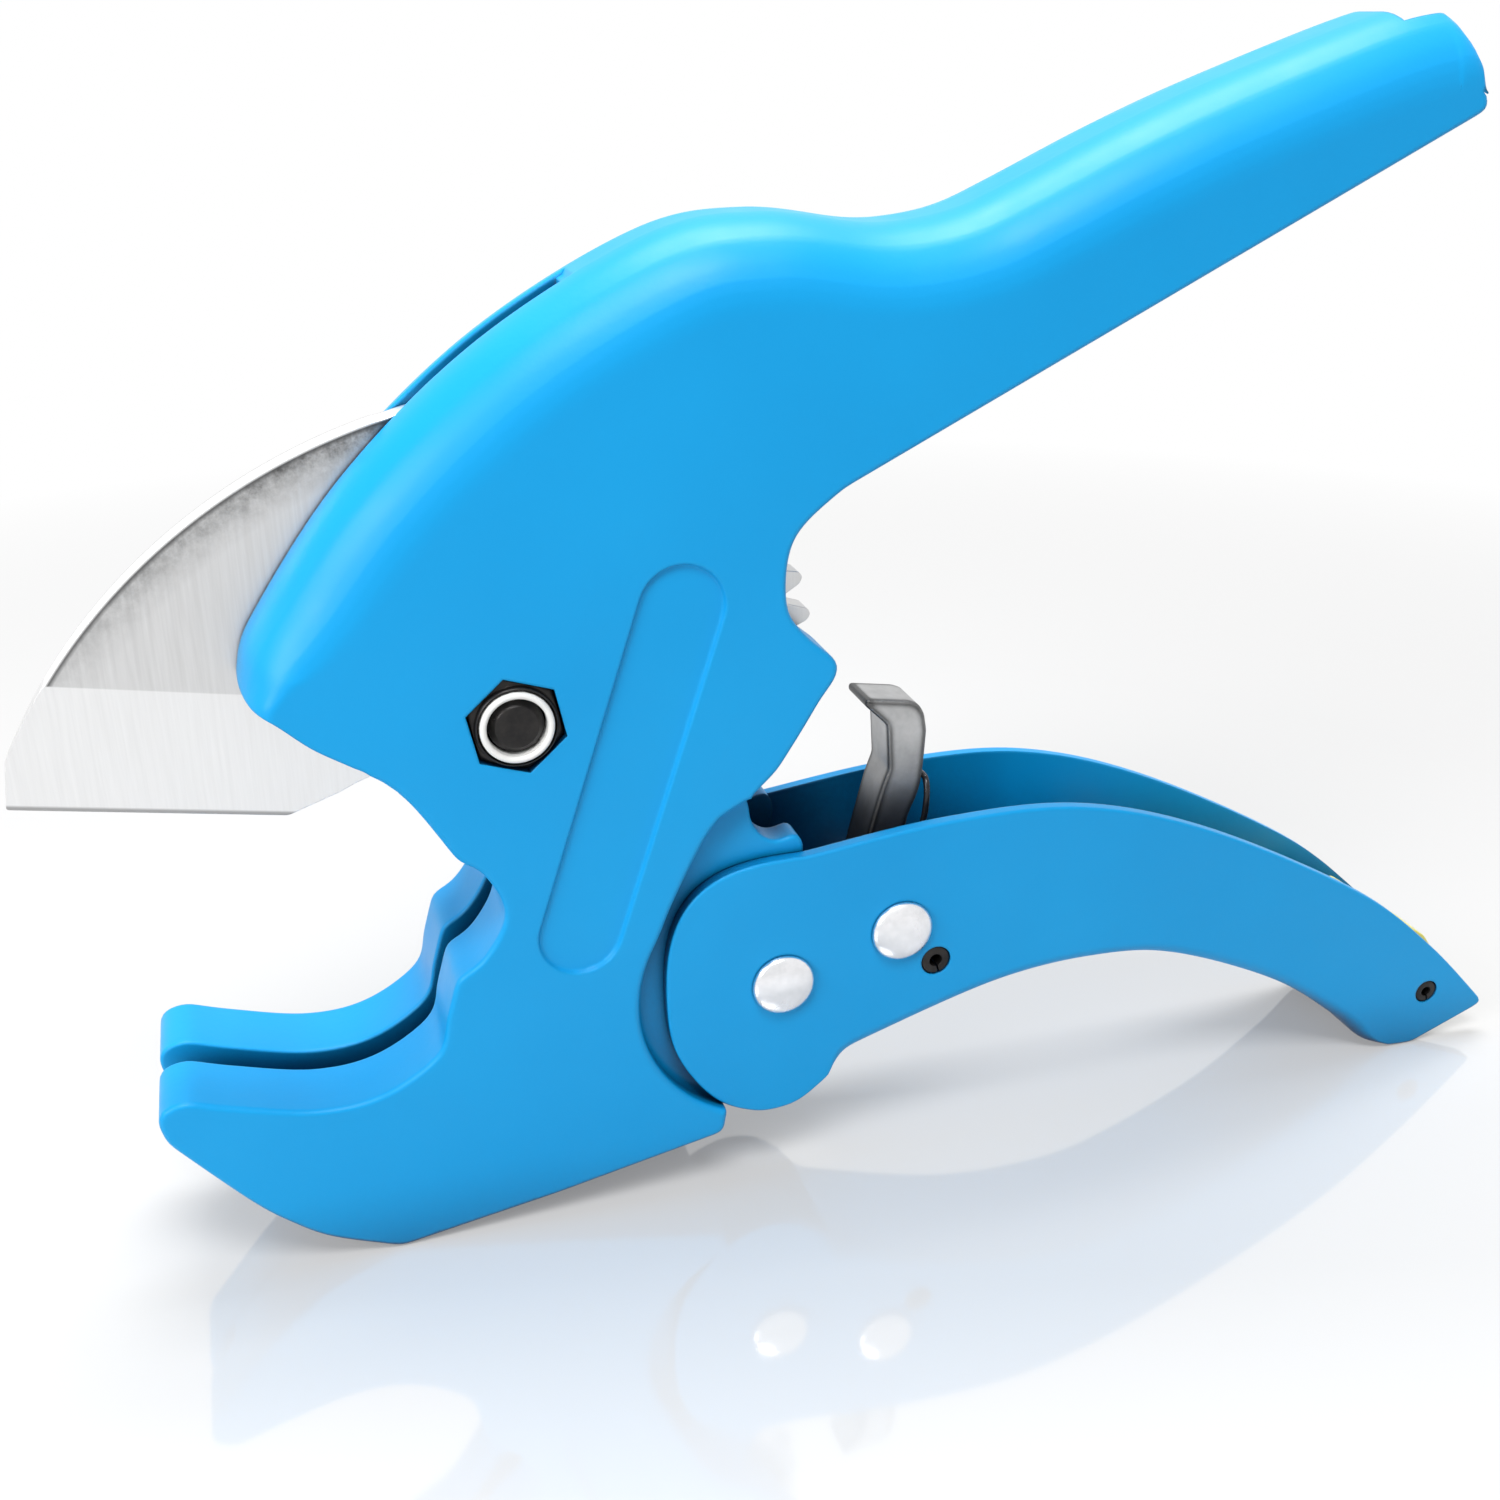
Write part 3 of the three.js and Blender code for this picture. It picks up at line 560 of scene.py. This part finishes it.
def body_outline():
    """The casting's outline, with its back carried on past the nose. The mouth is cut from it."""
    mouth = [
        (-37.8, -4),
        (-27, -6.2),
        *MOUTH_FRONT[-20:],
        *curve((-9.2, -19.6), (-5.9, -22), (-3.2, -28.8), (-6.8, -35.6), (-10.8, -38.2)),
        *curve((-10.8, -38.2), (-12.6, -44.5), (-14.4, -50.4), (-22.7, -55.6), (-32, -56.4), (-43.1, -53.5),
               (-49.6, -51.2)),
        *arc((-51.3, -54.1), 2.6, 95, 205),
    ]
    jaw_under = [
        *curve((-53.1, -57.6), (-42.9, -70.2), (-37.3, -75.6), (-32.1, -79.3), (-22.3, -83.4)),
        (2.3, -79.1),
        (29.1, -73.5),
        (29.6, -69.4),
    ]
    lug = [
        *arc(HANDLE_PIVOT, 14.4, -110, 80),
        (43.1, -28),
        *curve((43.1, -26), (41.6, -24.2), (39.2, -25.2), (36.6, -24.2), (34.7, -21.4), (34.4, -18.3)),
    ]
    rear = [
        (33.1, -15.9),
        *curve((37.5, -11.8), (41, -6.4), (44.1, -1.3)),
        *curve((46.3, 1.6), (46.4, 4.2), (41.9, 8.3), (38.8, 13.3), (39.8, 22.8), HANDLE_ROOT),
    ]
    return [
        *tagged(mouth[:1], slot=1, back=1),
        *tagged(mouth[1:], slot=1),
        *tagged(jaw_under[:-3], slot=1),
        *tagged(jaw_under[-3:]),
        *tagged(lug, lug=1),
        *tagged(rear),
        *tagged([HANDLE_END_BOTTOM]),
        *tagged([HANDLE_END_BOTTOM - HANDLE_END_DOWN * 1.7], end=1),
        *tagged(BACK[:1], back=1, end=1),
        *tagged(BACK[1:], back=1),
    ]


def crown_pulls(points, back, end):
    """How each point moves towards the sides, its share of the crown's round, and its share of the end."""
    at_end = end * np.clip(3 * back, 0, 1)
    pulls = inward(points) * (1 - at_end)[:, None] + HANDLE_END_DOWN * at_end[:, None]
    above_nose = np.clip((points[:, 1] - NOSE_HEIGHT) / NOSE_FADE, 0, 1)
    grown = CROWN_AT_NOSE + (1 - CROWN_AT_NOSE) * above_nose * (2 - above_nose)
    return pulls, back * grown, at_end


def body_blank():
    """The casting before its slots, pockets and holes, with its crown and its rounded edges."""
    points, tags = evened(body_outline(), 0.8, 3, ("back", "slot", "lug", "end"))
    pulls, crown, at_end = crown_pulls(points, tags["back"], tags["end"])
    normals, limit = inward(points), allowed(points)
    slotted = np.maximum(tags["slot"], tags["back"] * (points[:, 0] < 12))
    heights = {0.0}
    heights.update(quarter(CROWN_RADIUS, HALF_WIDTH, 12))
    heights.update(quarter(CAST_EDGE, HALF_WIDTH))
    heights.update(quarter(LUG_EDGE, LUG_HALF, 4))
    slot_edge_end = BLADE_SLOT_HALF + SLOT_EDGE
    heights.update(BLADE_SLOT_HALF + slot_edge_end - y for y in quarter(SLOT_EDGE, slot_edge_end, 5))
    levels = sorted(heights)
    rings = []
    for y in [-y for y in reversed(levels)] + levels[1:]:
        round_back = crown * rounding(y, HALF_WIDTH, CROWN_RADIUS)
        from_slot = min(max(slot_edge_end - abs(y), 0), SLOT_EDGE)
        slot_round = slotted * rounding(from_slot, SLOT_EDGE, SLOT_EDGE)
        edges = np.maximum(rounding(y, HALF_WIDTH, CAST_EDGE), slot_round)
        edges = np.maximum(edges, tags["lug"] * rounding(min(abs(y), LUG_HALF), LUG_HALF, LUG_EDGE))
        crowned = points + pulls * round_back[:, None]
        room = np.minimum(limit, allowed(crowned))
        spare = np.minimum(np.maximum(edges - round_back * (1 - at_end), 0), room)
        rings.append(ring_at(crowned + normals * spare[:, None], y))
    return loft("body", rings)


def mouth_cutter():
    line = MOUTH_FRONT[:-16]
    past = line[-1] + (line[-1] - line[-2]) * 4
    outline = [*line, past, (-25, -30), (-70, -30), (-70, 9.2)]
    return slab("mouth", outline, -THROUGH, THROUGH, spacing=0.3, passes=0)


def sunk(name, points, floor, lip, fillet, side, spacing=0.6):
    """A cutter for a pocket in one side, with a fillet at its floor and a rounded lip at the side face."""
    outline, _ = evened(tagged(points), spacing, 1)
    normals = inward(outline)
    stops = []
    for i in range(6):
        angle = math.radians(90 * i / 5)
        stops.append((floor + fillet * (1 - math.cos(angle)), fillet * (1 - math.sin(angle))))
    for i in range(6):
        angle = math.radians(90 * i / 5)
        stops.append((HALF_WIDTH - lip + lip * math.sin(angle), -lip * (1 - math.cos(angle))))
    stops.append((HALF_WIDTH + 3, stops[-1][1]))
    limit, outward_limit = allowed(outline), allowed(outline[::-1])[::-1]
    rings = []
    for y, inset in stops:
        moved = np.clip(inset, -outward_limit, limit)
        rings.append(ring_at(outline + normals * moved[:, None], y * side))
    return loft(name, rings)


def pocket_outline():
    return [
        (29.6, -69.4),
        (29.6, -90),
        (75, -90),
        (75, -15.9),
        (33.1, -15.9),
        *curve((29, -18.1), (26.4, -21.5), (21.8, -30.5), (19.3, -36.5)),
        *arc(HANDLE_PIVOT, LUG_RECESS_RADIUS, 157, 245.5),
    ]


def channel_cutter():
    length = next(i for i, p in enumerate(BACK) if p[0] < 53)
    back = shifted(BACK[: length + 1], WALL)
    beyond = back[0] + (back[0] - back[1]) / np.linalg.norm(back[0] - back[1]) * 12
    top = [beyond, *back]
    points = np.array([*top, (54, 42), (60, 25), (160, 75)])
    pulls = inward(points)
    pulls[0] = pulls[1] = pulls[2]
    pulls[len(top) - 1] = pulls[len(top) - 2]
    pulls[len(top):] = 0
    radius = CROWN_RADIUS - WALL
    heights = quarter(radius, HALF_WIDTH - WALL, 12)
    rings = []
    for y in [-y for y in reversed(heights)] + heights:
        rings.append(ring_at(points + pulls * rounding(y, HALF_WIDTH - WALL, radius), y))
    return loft("channel", rings)


def notch_cutter():
    along = (HANDLE_END_TOP - BACK[10]) / np.linalg.norm(HANDLE_END_TOP - BACK[10])
    up = np.array((-along[1], along[0]))
    start = HANDLE_END_TOP - along * LATCH_NOTCH_LENGTH
    corners = [start - up * 9, start + along * 20 - up * 9, start + along * 20 + up * 9, start + up * 9]
    return slab("notch", corners, -LATCH_NOTCH_HALF, LATCH_NOTCH_HALF, spacing=0.4, passes=0)


def hollow_cutter(side):
    """The shallow slot-shaped hollow, with sides that slope to its floor."""
    top, bottom, radius, depth, slope = np.array((23.6, 14.6)), np.array((7.5, -34)), 6.4, 0.7, 0.55
    tilt = math.degrees(math.atan2(*(top - bottom)[::-1]))
    points = [*arc(top, radius, tilt - 90, tilt + 90, 48), *arc(bottom, radius, tilt + 90, tilt + 270, 48)]
    outline, _ = evened(tagged(points), 0.6, 0)
    normals = inward(outline)
    rings = []
    for i in range(9):
        share = i / 8
        eased = share * share * (3 - 2 * share)
        inset = normals * slope * (1 - share)
        rings.append(ring_at(outline + inset, side * (HALF_WIDTH - depth * (1 - eased))))
    rings.append(ring_at(outline, side * (HALF_WIDTH + 2)))
    return loft("hollow", rings)


def hexagon(name, radius, low, high):
    corners = [polar(CENTRE, radius, NUT_TURN + 60 * i) for i in range(6)]
    return loft(name, [ring_at(corners, low), ring_at(corners, high)])


def body_casting():
    slot = [
        (-58, -65),
        *arc(CENTRE, 70.5, 236, 262),
        *arc(CENTRE, 50, 262, 437, 90),
        (11.3, 70),
        (-80, 70),
        (-80, -50),
    ]
    cavity = [*reversed(arc(CENTRE, 41, -48, 16)), (27, -44), (27, -60), (34, -70), (70, -70), (70, 12)]
    beyond = HALF_WIDTH + 2
    cutters = [
        mouth_cutter(),
        slab("slot", slot, -BLADE_SLOT_HALF, BLADE_SLOT_HALF),
        slab("cavity", cavity, -REAR_CAVITY_HALF, REAR_CAVITY_HALF, edge=1.5, passes=4),
        sunk("pocket_far", pocket_outline(), LUG_HALF, 1.0, 1.4, 1),
        sunk("pocket_near", pocket_outline(), LUG_HALF, 1.0, 1.4, -1),
        channel_cutter(),
        notch_cutter(),
        hollow_cutter(1),
        hollow_cutter(-1),
        rod("bore", CENTRE, BOLT_RADIUS + FIT, -beyond, beyond),
        rod("washer_seat", CENTRE, WASHER_RADIUS + FIT, -3.7, 3.7),
        hexagon("nut_seat_near", NUT_CORNER_RADIUS + FIT, -beyond, -NUT_POCKET_FLOOR),
        hexagon("nut_seat_far", NUT_CORNER_RADIUS + FIT, NUT_POCKET_FLOOR, beyond),
        rod("lug_bore", HANDLE_PIVOT, HANDLE_BUSH_RADIUS + FIT, -beyond, beyond),
    ]
    return split_large_faces(combined(body_blank(), cutters))


finished(body_casting(), PAINT, "body", "body_casting")


# ---- The blade ----
def tooth_outline():
    points = []
    for i in reversed(range(TOOTH_COUNT)):
        tip = TOP_TOOTH - i * TOOTH_PITCH
        spots = (
            (TOOTH_ROOT_RADIUS, -2.6),
            (TOOTH_TIP_RADIUS - 0.7, -1.5),
            (TOOTH_TIP_RADIUS, -0.5),
            (TOOTH_TIP_RADIUS - 0.3, 0.7),
            (TOOTH_ROOT_RADIUS, 2.9),
        )
        points += [polar(CENTRE, radius, tip + turn) for radius, turn in spots]
    return points


def edge_wedge(side):
    along = (EDGE_END - EDGE_START) / np.linalg.norm(EDGE_END - EDGE_START)
    deeper = np.array((-along[1], along[0]))
    section = [
        (-4, side * -0.25), (BEVEL_WIDTH, side * BLADE_HALF), (BEVEL_WIDTH + 1, side * 5), (-4, side * 5),
    ]
    rings = []
    for distance in (-8, 55):
        base = EDGE_START + along * distance
        ring = []
        for depth, y in section:
            x, z = base + deeper * depth
            ring.append((x, y, z))
        rings.append(ring)
    return loft("wedge", rings)


def cutting_blade():
    outline = [
        *arc(BLADE_BACK_CENTRE, BLADE_BACK_RADIUS, 106, 152.8, 90),
        (-67.4, -9.3),
        (-31.1, -15.3),
        *curve((-24, -12.6), (-17, -10.2), (-8, -13.5), (10, -24.5), (21, -31.5)),
        (29.5, -23.5),
        (35.5, -15.8),
        *tooth_outline(),
        *arc(CENTRE, 42.6, 26, 108),
    ]
    blank = slab("blade", outline, -BLADE_HALF, BLADE_HALF, edge=0.2, spacing=0.35, passes=1)
    return combined(blank, [rod("bore", CENTRE, BUSH_OUTER + FIT, -5, 5), edge_wedge(1), edge_wedge(-1)])


finished(cutting_blade(), BLADE_STEEL, "blade", "cutting_blade", sharp=12)


# ---- The blade's bolt, lock nut and bearings ----
def chamfered_hexagon(name, low, high, outer_face):
    """A hexagon whose corners are turned off towards its outer face."""
    other = low + high - outer_face
    toward = 1 if outer_face > other else -1
    cone = [(0, other - toward), (12, other - toward), (12, outer_face - toward * 3.4),
            (NUT_CORNER_RADIUS - 1.0, outer_face + toward * 0.02), (0, outer_face + toward * 0.02)]
    return combined(hexagon(name, NUT_CORNER_RADIUS, low, high), [turned("cone", CENTRE, cone)], "INTERSECT")


def lock_nut():
    nut = chamfered_hexagon("lock_nut", -NUT_FACE, -NUT_POCKET_FLOOR - FIT, -NUT_FACE)
    collar = rod("collar", CENTRE, COLLAR_RADIUS, -COLLAR_FACE, 1 - NUT_FACE, edge=0.5)
    nut = combined(nut, [collar], "UNION")
    bore = rod("bore", CENTRE, BOLT_RADIUS + FIT, -THROUGH, 0)
    seat = rod("seat", CENTRE, INSERT_RADIUS + FIT, -16, -12)
    return combined(nut, [bore, seat])


def nylon_ring():
    profile = [(BOLT_RADIUS + FIT, -INSERT_BACK), (BOLT_RADIUS + FIT, -14.4)]
    for i in range(7):
        angle = math.radians(180 - 30 * i)
        profile.append((4.7 + 0.5 * math.cos(angle), -14.3 - 0.5 * math.sin(angle)))
    profile.append((INSERT_RADIUS, -INSERT_BACK))
    return turned("nylon_ring", CENTRE, profile)


def pivot_bolt():
    profile = [(0, -14.3), (2.7, -14.3), (3.0, -14.25), (3.8, -13.5), (3.9, -13.2), (3.9, 9), (0, 9)]
    head = chamfered_hexagon("pivot_bolt", NUT_POCKET_FLOOR + FIT, BOLT_HEAD_FACE, BOLT_HEAD_FACE)
    return combined(head, [turned("shank", CENTRE, profile)], "UNION")


finished(lock_nut(), BLACK_OXIDE, "body", "blade_lock_nut")
finished(nylon_ring(), NYLON, "body", "lock_nut_insert")
finished(pivot_bolt(), BLACK_OXIDE, "body", "blade_pivot_bolt")
bush = tube("pivot_bush", CENTRE, BOLT_RADIUS + FIT, BUSH_OUTER, -BUSH_HALF, BUSH_HALF)
finished(bush, BRONZE, "body", "blade_bush")
for side, where in ((-1, "near"), (1, "far")):
    low, high = sorted(side * face for face in WASHER_FACES)
    washer = tube("washer_" + where, CENTRE, BOLT_RADIUS + FIT, WASHER_RADIUS, low, high)
    finished(washer, BRONZE, "body", "blade_washer_" + where)


# ---- The lower handle and its pivot ----
SHEET_BOTTOM = curve(
    (49.6, -64.4), (53.5, -62.6), (76.3, -55.8), (94.3, -54.3), (109.5, -56.6), (130.2, -65.7),
    (143.9, -75.5), (151.4, -82.1), (160.3, -83.4),
)
SHEET_TOP = curve(
    (42.8, -27.2), (65.9, -24.7), (89, -25.6), (113.2, -33.5), (143.7, -49.7), (160.5, -62.9),
    (173.9, -76.4),
)


def lower_handle():
    eye = curve(
        (42.8, -27.2), (35.3, -27.4), (29, -28.9), (24.3, -32.4), (21.5, -37.9), (20.5, -45.5),
        (21.1, -55.5), (23.9, -62.5), (28.7, -68.6), (34.5, -71.6), (38.7, -71.9), (42.4, -70.9),
        (47, -67.4),
    )
    outline = [
        *tagged(eye),
        *tagged(SHEET_BOTTOM, bend=1),
        *tagged([(173.2, -78.1), (174.6, -77.3)]),
        *tagged(reversed(SHEET_TOP)),
    ]
    points, tags = evened(outline, 0.7, 3, ("bend",))
    bend = tags["bend"] * np.clip((156 - points[:, 0]) / 8, 0, 1)
    normals, limit = inward(points), allowed(points)
    heights = sorted({0.0, *quarter(BEND_RADIUS, CHANNEL_HALF, 8), *quarter(SHEET_EDGE, CHANNEL_HALF, 4)})
    rings = []
    for y in [-y for y in reversed(heights)] + heights[1:]:
        folded = bend * rounding(y, CHANNEL_HALF, BEND_RADIUS)
        inset = np.minimum(np.maximum(folded, rounding(y, CHANNEL_HALF, SHEET_EDGE)), limit)
        rings.append(ring_at(points + normals * inset[:, None], y))
    inside = [
        (10, -10),
        (10, -80),
        (48.5, -80),
        *shifted(SHEET_BOTTOM, SHEET)[:-6],
        (165, -90),
        (190, -90),
        (190, -10),
    ]
    cutters = [
        slab("inside", inside, -CHANNEL_INSIDE, CHANNEL_INSIDE, edge=0.8),
        rod("handle_hole", HANDLE_PIVOT, RIVET_RADIUS + FIT, -THROUGH, THROUGH),
        rod("pawl_hole", PAWL_PIVOT, RIVET_RADIUS + FIT, -THROUGH, THROUGH),
        rod("stop_hole", STOP_PIN, STOP_PIN_RADIUS + 0.1, -THROUGH, THROUGH),
        rod("latch_hole", LATCH_PIVOT, LATCH_PIN_RADIUS + 0.1, -THROUGH, THROUGH),
    ]
    return split_large_faces(combined(loft("handle", rings), cutters))


def rivet(name, centre):
    seat, rim, height, reach = CHANNEL_HALF + 0.02, 0.4, 1.6, RIVET_HEAD_RADIUS
    half = [(RIVET_RADIUS, seat), (reach - 0.25, seat), (reach, seat + 0.25)]
    for i in range(13):
        angle = math.radians(90 * i / 12)
        half.append((reach * math.cos(angle) ** 0.85, seat + rim + height * math.sin(angle)))
    half[-1] = (0, half[-1][1])
    return turned(name, centre, [*((r, -y) for r, y in reversed(half)), *half])


def spring_pin(name, centre, radius):
    """A rolled pin: a tube of spring steel with a gap along it."""
    length = CHANNEL_HALF - 0.1
    blank = tube(name, centre, radius * 0.45, radius, -length, length, edge=0.35)
    out = polar(CENTRE, radius * 2, 285)
    across = polar(CENTRE, 0.15, 15)
    corners = [centre - across, centre - across + out, centre + across + out, centre + across]
    return combined(blank, [slab("gap", corners, -THROUGH, THROUGH, passes=0)])


finished(lower_handle(), PAINT, "handle", "lower_handle")
finished(rivet("handle_rivet", HANDLE_PIVOT), BRIGHT_ZINC, "handle", "handle_pivot_rivet")
finished(rivet("pawl_rivet", PAWL_PIVOT), BRIGHT_ZINC, "handle", "pawl_pivot_rivet")
stop_pin = spring_pin("stop_pin", STOP_PIN, STOP_PIN_RADIUS)
finished(stop_pin, BLACK_OXIDE, "handle", "pawl_stop_pin")
tail_pin = spring_pin("tail_pin", LATCH_PIVOT, LATCH_PIN_RADIUS)
finished(tail_pin, BLACK_OXIDE, "handle", "latch_pin")
bush = tube("handle_bush", HANDLE_PIVOT, RIVET_RADIUS + FIT, HANDLE_BUSH_RADIUS, -LUG_HALF, LUG_HALF)
finished(bush, BRONZE, "body", "handle_pivot_bush")
for side, where in ((-1, "near"), (1, "far")):
    low, high = sorted(side * face for face in SPACER_FACES)
    spacer = tube("spacer_" + where, PAWL_PIVOT, RIVET_RADIUS + FIT, SPACER_RADIUS, low, high)
    finished(spacer, BRIGHT_ZINC, "handle", "pawl_spacer_" + where)


# ---- The ratchet ----
def drive_pawl():
    outline = [
        *arc(PAWL_PIVOT, 5.5, 150, 250),
        (57.6, -51),
        (60.4, -51),
        *arc(PAWL_PIVOT, 5.5, 290, 390),
        *curve((62, -35), (62.4, -28), (64.4, -22), (65.1, -12.8)),
        *curve((64.6, -10), (63.6, -8.4), (62, -7.6)),
        (54.9, -6.5),
        (54.7, -7.5),
        (58.5, -11.2),
        *curve((59, -18.7), (57.7, -22.6), (55.6, -31), (54.2, -37.5)),
    ]
    blank = slab("pawl", outline, -PAWL_HALF, PAWL_HALF, edge=0.5, spacing=0.35, passes=2)
    return combined(blank, [rod("bore", PAWL_PIVOT, RIVET_RADIUS + FIT, -9, 9)])


def coil(centre, radius, angles, heights, steps=20):
    turns = arc(centre, radius, *angles, steps=int((angles[1] - angles[0]) / 360 * steps))
    rise = heights[1] - heights[0]
    return [(x, heights[0] + rise * i / (len(turns) - 1), z) for i, (x, z) in enumerate(turns)]


def pawl_spring():
    turns = coil(PAWL_PIVOT, PAWL_COIL_RADIUS, (0, 1080), (-9.4, -5.4))
    arm = smooth_path(
        (63.35, -5.4, -42.4), (63.6, -4.9, -34), (65, -4.9, -26), (65.5, -3.4, -21.5), (65.5, 1, -21.5),
    )
    return wire("pawl_spring_wire", [*turns, *arm[1:]], PAWL_WIRE_RADIUS)


def return_spring():
    arm = smooth_path((33.6, 4.7, -24), (32.8, 4.7, -37), (32.4, 4.7, -48.6))
    turns = coil(HANDLE_PIVOT, RETURN_COIL_RADIUS, (180, 1041), (4.7, -4.8))
    return wire("return_spring_wire", [*arm[:-1], *turns], RETURN_WIRE_RADIUS)


finished(drive_pawl(), PAWL_STEEL, "pawl", "drive_pawl")
finished(pawl_spring(), SPRING_WIRE, "pawl", "pawl_spring", sharp=60)
finished(return_spring(), SPRING_WIRE, "body", "handle_return_spring", sharp=60)


# ---- The latch ----
def safety_latch():
    outline = [
        *arc(LATCH_PIVOT, 4, 215, 340),
        (168.7, -69.6),
        (166.7, -66.8),
        (150, -55.4),
        *curve((147, -56.4), (141, -56.8), (128, -52.4), (109, -43.4)),
        (109, -40.4),
        (106.6, -39.6),
        (105, -44.4),
        *curve((116, -50.4), (130, -56.4), (146, -61.4), (157.6, -70.4)),
    ]
    blank = slab("latch", outline, -LATCH_HALF, LATCH_HALF, edge=0.4, spacing=0.4)
    eye = rod("eye", LATCH_PIVOT, 4, -10.2, 10.2, edge=0.3)
    blank = combined(blank, [eye], "UNION")
    return combined(blank, [rod("bore", LATCH_PIVOT, LATCH_PIN_RADIUS + FIT, -THROUGH, THROUGH)])


finished(safety_latch(), YELLOW_ZINC, "latch", "safety_latch")


# ---- Studio ----
STAGE_CENTRE = Vector((0, 0, 0.08))


def ray_switch(tree, diffuse, other):
    """A value that is lower for the light a surface scatters than for what the camera and mirrors see."""
    path = tree.nodes.new("ShaderNodeLightPath")
    pick = tree.nodes.new("ShaderNodeMapRange")
    pick.inputs["To Min"].default_value = other
    pick.inputs["To Max"].default_value = diffuse
    tree.links.new(path.outputs["Is Diffuse Ray"], pick.inputs["Value"])
    return pick.outputs["Result"]


def floor():
    """A white floor with a faint reflection, which fades into the white backdrop with distance."""
    size = 6.0
    mesh = bpy.data.meshes.new("floor")
    corners = [(-size, -size, 0), (size, -size, 0), (size, size, 0), (-size, size, 0)]
    mesh.from_pydata(corners, [], [(0, 1, 2, 3)])
    thing = bpy.data.objects.new("floor", mesh)
    bpy.context.scene.collection.objects.link(thing)
    n = Nodes("floor_white")
    tree = n.tree
    white = n.node("ShaderNodeEmission", {"Color": (1, 1, 1, 1), "Strength": ray_switch(tree, 0.3, 1.0)})
    diffuse = n.node("ShaderNodeBsdfDiffuse", {"Color": (0.5, 0.5, 0.5, 1)})
    glow = n.node("ShaderNodeEmission", {"Color": (1, 1, 1, 1), "Strength": ray_switch(tree, 0.0, 0.27)})
    matt = n.node("ShaderNodeAddShader")
    tree.links.new(diffuse.outputs[0], matt.inputs[0])
    tree.links.new(glow.outputs[0], matt.inputs[1])
    mirror = n.node("ShaderNodeBsdfGlossy", {"Color": (1, 1, 1, 1), "Roughness": 0.06})
    near = n.node("ShaderNodeMixShader", {"Fac": 0.13})
    tree.links.new(matt.outputs[0], near.inputs[1])
    tree.links.new(mirror.outputs[0], near.inputs[2])
    distance = n.vectors("LENGTH", n.place, output="Value")
    far = n.node("ShaderNodeMixShader", {"Fac": n.spread(distance, 0, 1, 0.22, 0.5)})
    tree.links.new(near.outputs[0], far.inputs[1])
    tree.links.new(white.outputs[0], far.inputs[2])
    tree.links.new(far.outputs[0], tree.nodes["Material Output"].inputs["Surface"])
    mesh.materials.append(n.material)


def softbox(name, direction, distance, width, height, power):
    light = bpy.data.lights.new(name, "AREA")
    light.shape = "RECTANGLE"
    light.size, light.size_y = width, height
    light.energy = power
    thing = bpy.data.objects.new(name, light)
    bpy.context.scene.collection.objects.link(thing)
    thing.location = STAGE_CENTRE + Vector(direction).normalized() * distance
    thing.rotation_euler = Vector(direction).to_track_quat("Z", "Y").to_euler()


def studio():
    floor()
    softbox("front_top", (-0.16, -0.45, 0.84), 0.7, 0.36, 0.24, 3.1)
    softbox("left", (-0.77, -0.43, 0.38), 0.7, 0.3, 0.3, 2.3)
    softbox("overhead", (0.05, 0.25, 0.97), 0.75, 0.5, 0.3, 5.0)
    world = bpy.data.worlds.new("studio")
    world.use_nodes = True
    background = world.node_tree.nodes["Background"]
    background.inputs["Color"].default_value = (1, 1, 1, 1)
    world.node_tree.links.new(ray_switch(world.node_tree, 0.27, 1.0), background.inputs["Strength"])
    bpy.context.scene.world = world
    bpy.context.scene.view_settings.view_transform = "Standard"


def camera():
    """The camera stands in front of the near side, turned a little to the right and looking down."""
    thing = bpy.data.objects.new("camera", bpy.data.cameras.new("camera"))
    bpy.context.scene.collection.objects.link(thing)
    right = Vector((0.95489, -0.29697, 0))
    forward = Vector((0.27188, 0.87421, -0.40228))
    up = right.cross(forward)
    turn = Matrix((right, up, -forward)).transposed().to_4x4()
    stand = ORIGIN + Vector((-0.03209, -0.224, 0.08888))
    thing.matrix_world = Matrix.Translation(stand) @ turn
    thing.data.lens = 40.2
    thing.data.sensor_width = 36
    bpy.context.scene.camera = thing


studio()
camera()
